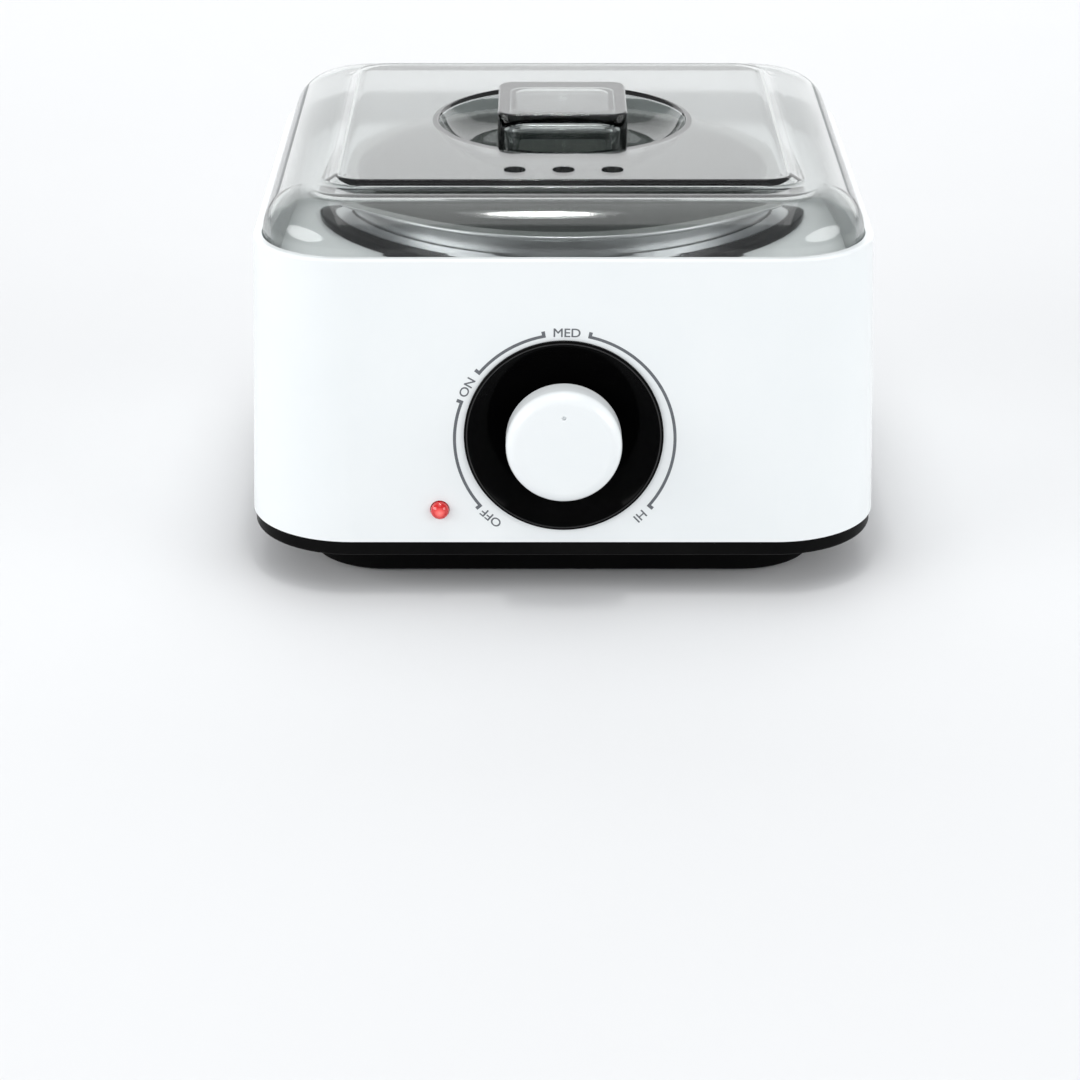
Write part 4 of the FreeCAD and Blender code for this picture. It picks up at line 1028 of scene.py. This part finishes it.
pot_profile += arc(inner_foot, inner_bend, TO_RIGHT, TO_BOTTOM, BEND_STEPS)
pot_profile.append((0, pot_floor))
pot = make_mesh("wax_pot", lathe(pot_profile))
finish_piece(pot, "pot_coating", "pot", ["pot"])

# %% Bare outside of the pot
BARE_LEAN = 0.2
pot.data.materials.append(finishes["well_metal"])
for face in pot.data.polygons:
    outwards = Vector((face.center.x, face.center.y, 0)).normalized()
    if max(face.normal.dot(outwards), -face.normal.z) > BARE_LEAN:
        face.material_index = 1
print("bare faces:", sum(face.material_index for face in pot.data.polygons))

# %% [markdown]
# ## Working on the tilted front
#
# The body is drafted so that it leaves its mould, and the front leans back by two degrees. The dial
# follows that lean. The hinge of the knob in the record gives both the dial's centre and its axis, so a
# matrix built from it stands every dial piece square to the wall, with its own Z pointing out.

# %% The dial's own frame
hinge = next(joint for joint in frame["joints"] if joint["name"] == "knob_turn")
dial_centre = Vector(hinge["pos_m"]) / MM
dial_out = -Vector(hinge["axis"]).normalized()
dial_right = Vector((1, 0, 0))
dial_up = dial_out.cross(dial_right)


def wall_frame(spot, right, out):
    """A frame at a spot on a wall, its Z square to the wall."""
    return Matrix.Translation(spot) @ Matrix((right, out.cross(right), out)).transposed().to_4x4()


def on_wall(across, up):
    """A frame on the front wall, measured from the dial's centre."""
    return wall_frame(dial_centre + dial_right * across + dial_up * up, dial_right, dial_out)


print("dial axis", [round(c, 4) for c in dial_out], "up", [round(c, 4) for c in dial_up])

# %% [markdown]
# ## The dial bowl
#
# A polished black dish frames the knob. Polish shows every flaw in a curve, so the bowl is one true arc.
# The narrow lip round it has a small round on both edges. The inner one takes the black with the full
# shine, so that it draws the fine bright line round the dial.

# %% Dial bowl
BEZEL_RADIUS = 27.85
BEZEL_LIP = 1.0
BEZEL_LIP_WIDTH = 0.95
BEZEL_NECK = 26.3
BEZEL_WALL = 1.5
BEZEL_TAIL = 4.3
BOWL_DEPTH = 7.0
BOWL_FLOOR = 10.0
BUSH_HOLE = 5.1
LIP_ROUND = 0.35
BOWL_STEPS = 36
BACK_STEPS = 24
BOWL_SPIN = 192
bowl_mouth = BEZEL_RADIUS - BEZEL_LIP_WIDTH
bowl_floor_z = BEZEL_LIP - BOWL_DEPTH
bowl_curve = ((bowl_mouth ** 2 - BOWL_FLOOR ** 2) + BOWL_DEPTH ** 2) / (2 * BOWL_DEPTH)
bowl_centre = bowl_floor_z + bowl_curve
bowl_arc = math.hypot(BOWL_FLOOR, bowl_curve)
rim_angle = math.degrees(math.atan2(BEZEL_LIP - bowl_centre, bowl_mouth))
floor_angle = math.degrees(math.atan2(bowl_floor_z - bowl_centre, BOWL_FLOOR))

bowl = soft_corner((BEZEL_RADIUS, BEZEL_LIP), LIP_ROUND, UP, LEFT)
near_rim = arc((0, bowl_centre), bowl_arc, rim_angle, floor_angle, BOWL_STEPS)
bowl += bend((bowl_mouth + LIP_ROUND, BEZEL_LIP), (bowl_mouth, BEZEL_LIP), near_rim[1])
bowl += near_rim[2:]
bowl += [(BUSH_HOLE, bowl_floor_z), (BUSH_HOLE, bowl_floor_z - BEZEL_WALL)]
back = arc((0, bowl_centre), bowl_arc + BEZEL_WALL, floor_angle, rim_angle, BACK_STEPS)
bowl += [point for point in back if point[0] < BEZEL_NECK - BEZEL_WALL and point[1] < -BEZEL_TAIL]
bowl += [(BEZEL_NECK - BEZEL_WALL, -BEZEL_TAIL), (BEZEL_NECK, -BEZEL_TAIL)]
bowl += [(BEZEL_NECK, 0), (BEZEL_RADIUS, 0)]
bezel = make_mesh("dial_bowl", lathe(bowl, BOWL_SPIN), on_wall(0, 0))
finish_piece(bezel, "black_gloss", "housing", ["dial_bezel"])

# %% Shiny lip of the bowl
bezel.data.materials.append(finishes["black_lip"])
for face in bezel.data.polygons:
    away = face.center / MM - dial_centre
    off_axis = (away - dial_out * away.dot(dial_out)).length
    face.material_index = int(bowl_mouth < off_axis < bowl_mouth + LIP_ROUND)
print("lip faces:", sum(face.material_index for face in bezel.data.polygons))

# %% [markdown]
# ## The knob
#
# The cap of the knob is a plain white drum with a soft front edge, very slightly crowned so that its face
# doesn't look dead flat, and one small dimple that points at the setting. It turns with the shaft, so it
# rides on the knob's own body.

# %% Knob
KNOB_RADIUS = 16.1
KNOB_BACK = 2.0
KNOB_FACE = 12.0
KNOB_WALL = 2.0
KNOB_ROUND = 3.6
KNOB_CROWN = 0.12
BACK_ROUND = 0.3
DOT_RADIUS = 0.7
DOT_DEPTH = 0.75
DOT_FLOOR = 0.5
DOT_OFFSET = 9.2
DOT_SPIN = 32
ROUND_END = 86
ROUND_STEPS = 10
CROWN_STEPS = 6
drum_edge = KNOB_FACE - KNOB_CROWN
knob_inner = KNOB_RADIUS - KNOB_WALL
cap = [(knob_inner, KNOB_BACK)]
cap += soft_corner((KNOB_RADIUS, KNOB_BACK), BACK_ROUND, RIGHT, UP)
face_bend = (KNOB_RADIUS - KNOB_ROUND, drum_edge - KNOB_ROUND)
cap += arc(face_bend, KNOB_ROUND, TO_RIGHT, ROUND_END, ROUND_STEPS)
for step in range(1, CROWN_STEPS + 1):
    share = 1 - step / CROWN_STEPS
    cap.append(((KNOB_RADIUS - KNOB_ROUND) * share, KNOB_FACE - KNOB_CROWN * share ** 2))
cap += [(0, KNOB_FACE - KNOB_WALL), (knob_inner, KNOB_FACE - KNOB_WALL)]
knob = make_mesh("knob_drum", lathe(cap), on_wall(0, 0))
dot = [(0, KNOB_FACE - DOT_DEPTH), (DOT_FLOOR, KNOB_FACE - DOT_DEPTH), (DOT_RADIUS, KNOB_FACE)]
dot += [(DOT_RADIUS, KNOB_FACE + OVERRUN), (0, KNOB_FACE + OVERRUN)]
carve(knob, [make_mesh("dot_cut", lathe(dot, DOT_SPIN), on_wall(0, DOT_OFFSET))])
finish_piece(knob, "white_gloss", "knob", ["knob_cap"])

# %% [markdown]
# ## The indicator lamp
#
# A five-millimetre class lens: a short straight collar and a dome. It is turned on the lathe with its
# flange behind the wall, at the place that the model gives.

# %% Lamp
LAMP_RADIUS = 2.6
LAMP_STAND = 0.3
LAMP_DOME = 2.4
LAMP_LENGTH = 8.0
LAMP_FLANGE = 0.6
LAMP_FLANGE_THICKNESS = 1.0
WALL_THICKNESS = 2.3
DOME_STEPS = 12
SMALL_SPIN = 64
lamp_up = (lamp_low.z + lamp_high.z) / 2 - dial_centre.z
wall_rise = 1 / dial_up.z
lamp_frame = on_wall(lamp_front.x, lamp_up * wall_rise)
lens = [(0, -LAMP_LENGTH), (LAMP_RADIUS, -LAMP_LENGTH)]
flange_back = -WALL_THICKNESS - LAMP_FLANGE_THICKNESS
lens += [(LAMP_RADIUS, flange_back), (LAMP_RADIUS + LAMP_FLANGE, flange_back)]
lens += [(LAMP_RADIUS + LAMP_FLANGE, -WALL_THICKNESS), (LAMP_RADIUS, -WALL_THICKNESS)]
for step in range(DOME_STEPS + 1):
    angle = math.pi / 2 * step / DOME_STEPS
    lens.append((LAMP_RADIUS * math.cos(angle), LAMP_STAND + (LAMP_DOME - LAMP_STAND) * math.sin(angle)))
lamp = make_mesh("lamp_lens", lathe(lens, SMALL_SPIN), lamp_frame)
finish_piece(lamp, "red_lens", "housing", ["indicator_lamp"])

# %% [markdown]
# ## The cord gland
#
# A rubber gland guards the lead's hole in the back wall. The back leans as the front does, so its frame is
# the front's one mirrored. The nose is a soft cone with a rolled mouth, where a sharp edge would cut the
# lead, and a shoulder behind the wall keeps it in its hole.

# %% Gland
GLAND_BORE = 3.6
GLAND_NECK = 5.4
GLAND_FLANGE = 7.5
GLAND_NOSE = 6.45
GLAND_FACE = 3.0
GLAND_TAIL = 4.0
GLAND_ROUND = 0.9
GLAND_FOOT = 0.5
gland_low, gland_high = box_of("cord_gland")
back_out = Vector((0, -dial_out.y, dial_out.z))
gland_face_y = GLAND_FACE * back_out.y + GLAND_NOSE * back_out.z
gland_spot = Vector((0, gland_high.y - gland_face_y, (gland_low.z + gland_high.z) / 2))
gland_back = -WALL_THICKNESS - GLAND_TAIL
nose = [(GLAND_BORE, gland_back), (GLAND_NOSE, gland_back)]
nose += [(GLAND_NOSE, -WALL_THICKNESS), (GLAND_NECK, -WALL_THICKNESS), (GLAND_NECK, 0)]
nose += soft_corner((GLAND_FLANGE, 0), GLAND_FOOT, RIGHT, UP)
cone_end = (GLAND_NOSE + GLAND_ROUND / 2, GLAND_FACE - GLAND_ROUND)
nose += bend(cone_end, (GLAND_NOSE, GLAND_FACE), (GLAND_NOSE - GLAND_ROUND, GLAND_FACE), SOFT_STEPS)
nose += soft_corner((GLAND_BORE, GLAND_FACE), GLAND_ROUND, LEFT, DOWN, SOFT_STEPS)
gland_frame = wall_frame(gland_spot, -dial_right, back_out)
gland = make_mesh("gland_nose", lathe(nose, SMALL_SPIN), gland_frame)
finish_piece(gland, "rubber", "housing", ["cord_gland"])

# %% [markdown]
# ## The printed heat scale
#
# Grey arcs with short ticks at their ends run round the dial between four plain words. Each arc is a thin
# ribbon of ink with a real thickness, bent round the dial, and each word is a line of text turned into a
# mesh and set on the same circle with its feet towards the dial.

# %% Ribbons of ink
INK = 0.03
SIDES = 4


def scale_point(angle, radius, out):
    """A point of the dial's face, with its angle in degrees clockwise from the top."""
    turn = math.radians(angle)
    return Vector((radius * math.sin(turn), radius * math.cos(turn), out))


def ribbon(stations):
    """A thin bar through stations, each given as four corners."""
    points = [corner for station in stations for corner in station]
    last = len(points) - SIDES
    faces = [tuple(range(SIDES)), tuple(range(last, last + SIDES))]
    for base in range(0, last, SIDES):
        for side in range(SIDES):
            following = (side + 1) % SIDES
            faces.append((base + side, base + following, base + SIDES + following, base + SIDES + side))
    return points, faces


def scale_bar(angles, low, high):
    """A ribbon over some angles, between two radii."""
    stations = []
    for angle in angles:
        stations.append([
            scale_point(angle, low, 0), scale_point(angle, high, 0),
            scale_point(angle, high, INK), scale_point(angle, low, INK),
        ])
    return ribbon(stations)


print("ink", INK, "mm thick")

# %% Scale arcs
SCALE_RADIUS = 30.75
SCALE_ACROSS = 0.3
SCALE_DROP = -1.2
SCALE_LINE = 0.85
TICK_LENGTH = 1.0
TICK_WIDTH = 0.95
SCALE_ARCS = ((-130.4, -67.9), (-51.3, -10.0), (12.0, 130.4))
DEGREES_PER_STEP = 1.5
scale_frame = on_wall(SCALE_ACROSS, SCALE_DROP)
half_line = SCALE_LINE / 2
tick_angle = math.degrees(TICK_WIDTH / SCALE_RADIUS)
for number, (first, last) in enumerate(SCALE_ARCS, start=1):
    steps = math.ceil((last - first) / DEGREES_PER_STEP)
    sweep = [first + (last - first) * step / steps for step in range(steps + 1)]
    arc_shape = scale_bar(sweep, SCALE_RADIUS - half_line, SCALE_RADIUS + half_line)
    line = make_mesh(f"scale_arc_{number}", arc_shape, scale_frame)
    finish_piece(line, "scale_print", "housing")
    for end_name, angle, inward in (("start", first, 1), ("end", last, -1)):
        sides = (angle, angle + inward * tick_angle)
        tick_shape = scale_bar(sides, SCALE_RADIUS + half_line, SCALE_RADIUS + half_line + TICK_LENGTH)
        tick = make_mesh(f"scale_tick_{number}_{end_name}", tick_shape, scale_frame)
        finish_piece(tick, "scale_print", "housing")

# %% Scale words
WORD_HEIGHT = 2.55
WORD_WIDEN = 1.1
WORD_RADIUS = 31.3
STROKE_GAIN = 0.035
CAP_SHARE = 0.73
SCALE_WORDS = {"OFF": -138.4, "ON": -60.4, "MED": 0.9, "HI": 136.9}
for word, angle in SCALE_WORDS.items():
    text = bpy.data.curves.new(f"word_{word}", "FONT")
    text.body = word
    text.size = WORD_HEIGHT / CAP_SHARE * MM
    text.align_x = "CENTER"
    text.bevel_depth = STROKE_GAIN * MM
    text.bevel_resolution = 0
    text.extrude = INK / 2 * MM
    writer = bpy.data.objects.new(f"word_{word}", text)
    bpy.context.scene.collection.objects.link(writer)
    letters = bpy.data.meshes.new_from_object(writer.evaluated_get(bpy.context.evaluated_depsgraph_get()))
    bpy.data.objects.remove(writer)
    spot = scale_point(angle, WORD_RADIUS - WORD_HEIGHT / 2, INK / 2)
    turn = Matrix.Translation(spot * MM) @ Matrix.Rotation(-math.radians(angle), 4, "Z")
    stand = scale_frame.copy()
    stand.translation *= MM
    letters.transform(stand @ turn @ Matrix.Diagonal((WORD_WIDEN, 1, 1, 1)))
    label = bpy.data.objects.new(f"scale_word_{word.lower()}", letters)
    bpy.context.scene.collection.objects.link(label)
    finish_piece(label, "scale_print", "housing")

# %% [markdown]
# ## Floor and light
#
# The warmer stands on a pale sweep that curves up behind it, as in a studio. Light comes from large soft
# panels: one on each side for the white front, a long narrow one overhead that the lid's shoulder mirrors,
# and one low behind that the lid's flat panel mirrors towards the camera. A small lamp overhead draws the
# bright streak on the shoulder. Nothing bright stands in front, so the black bowl and the base stay black.

# %% Floor
FLOOR_FRONT = -2500.0
FLOOR_BACK = 1100.0
FLOOR_SIDE = 2600.0
SWEEP_RADIUS = 500.0
SWEEP_HEIGHT = 1600.0
SWEEP_STEPS = 16
sweep = [(FLOOR_FRONT, 0.0)]
sweep += arc((FLOOR_BACK, SWEEP_RADIUS), SWEEP_RADIUS, TO_BOTTOM, TO_RIGHT, SWEEP_STEPS)
sweep.append((FLOOR_BACK + SWEEP_RADIUS, SWEEP_HEIGHT))
floor_points = []
for along, up in sweep:
    floor_points += [Vector((-FLOOR_SIDE, along, up)), Vector((FLOOR_SIDE, along, up))]
floor_faces = []
for base in range(0, len(floor_points) - 2, 2):
    floor_faces.append((base, base + 1, base + 3, base + 2))
floor_mesh = bpy.data.meshes.new("studio_sweep")
floor_mesh.from_pydata([point * MM for point in floor_points], [], floor_faces)
floor_mesh.shade_smooth()
floor = bpy.data.objects.new("studio_sweep", floor_mesh)
bpy.context.scene.collection.objects.link(floor)
new_finish(
    "studio_paper", (0.78, 0.785, 0.79), (0.765, 0.77, 0.775),
    drift=3.0, roughness=0.8, swing=0.05, grain=600.0, depth=0.01,
)
floor_mesh.materials.append(finishes["studio_paper"])
print("floor from", FLOOR_FRONT, "to", FLOOR_BACK + SWEEP_RADIUS, "mm")

# %% Lights
SQUARE, OVAL = "RECTANGLE", "ELLIPSE"


def soft_panel(name, spot, target, size, glow, shape=SQUARE):
    """A soft panel of an even glow, pointed at a target."""
    light = bpy.data.lights.new(name, "AREA")
    light.shape = shape
    light.size, light.size_y = Vector(size) * MM
    light.energy = glow * math.pi * light.size * light.size_y
    panel = bpy.data.objects.new(name, light)
    panel.location = Vector(spot) * MM
    panel.rotation_euler = (Vector(target) - Vector(spot)).to_track_quat("-Z", "Y").to_euler()
    bpy.context.scene.collection.objects.link(panel)
    print("light:", name)


SIDE_SIZE = (1400, 620)
MIDDLE = (0, 0, 60)
soft_panel("side_left", spot=(-1200, -640, 500), target=MIDDLE, size=SIDE_SIZE, glow=3.66, shape=OVAL)
soft_panel("side_right", spot=(1200, -640, 500), target=MIDDLE, size=SIDE_SIZE, glow=3.06, shape=OVAL)
soft_panel("overhead", spot=(0, -60, 1250), target=(0, -60, 0), size=(700, 1600), glow=1.3)
soft_panel(
    "overhead_lamp", spot=(-6, -190, 1010), target=(-6, -80, 108), size=(62, 230), glow=26, shape=OVAL
)
soft_panel("behind", spot=(0, 900, 480), target=(0, 0, 100), size=(2200, 900), glow=0.95)

# %% Room light
ROOM_COLOUR = (0.95, 0.97, 1.0, 1)
ROOM_STRENGTH = 0.5
studio = bpy.data.worlds.new("studio")
studio.use_nodes = True
room = studio.node_tree.nodes["Background"]
room.inputs["Color"].default_value = ROOM_COLOUR
room.inputs["Strength"].default_value = ROOM_STRENGTH
bpy.context.scene.world = studio
print("room light:", ROOM_STRENGTH)
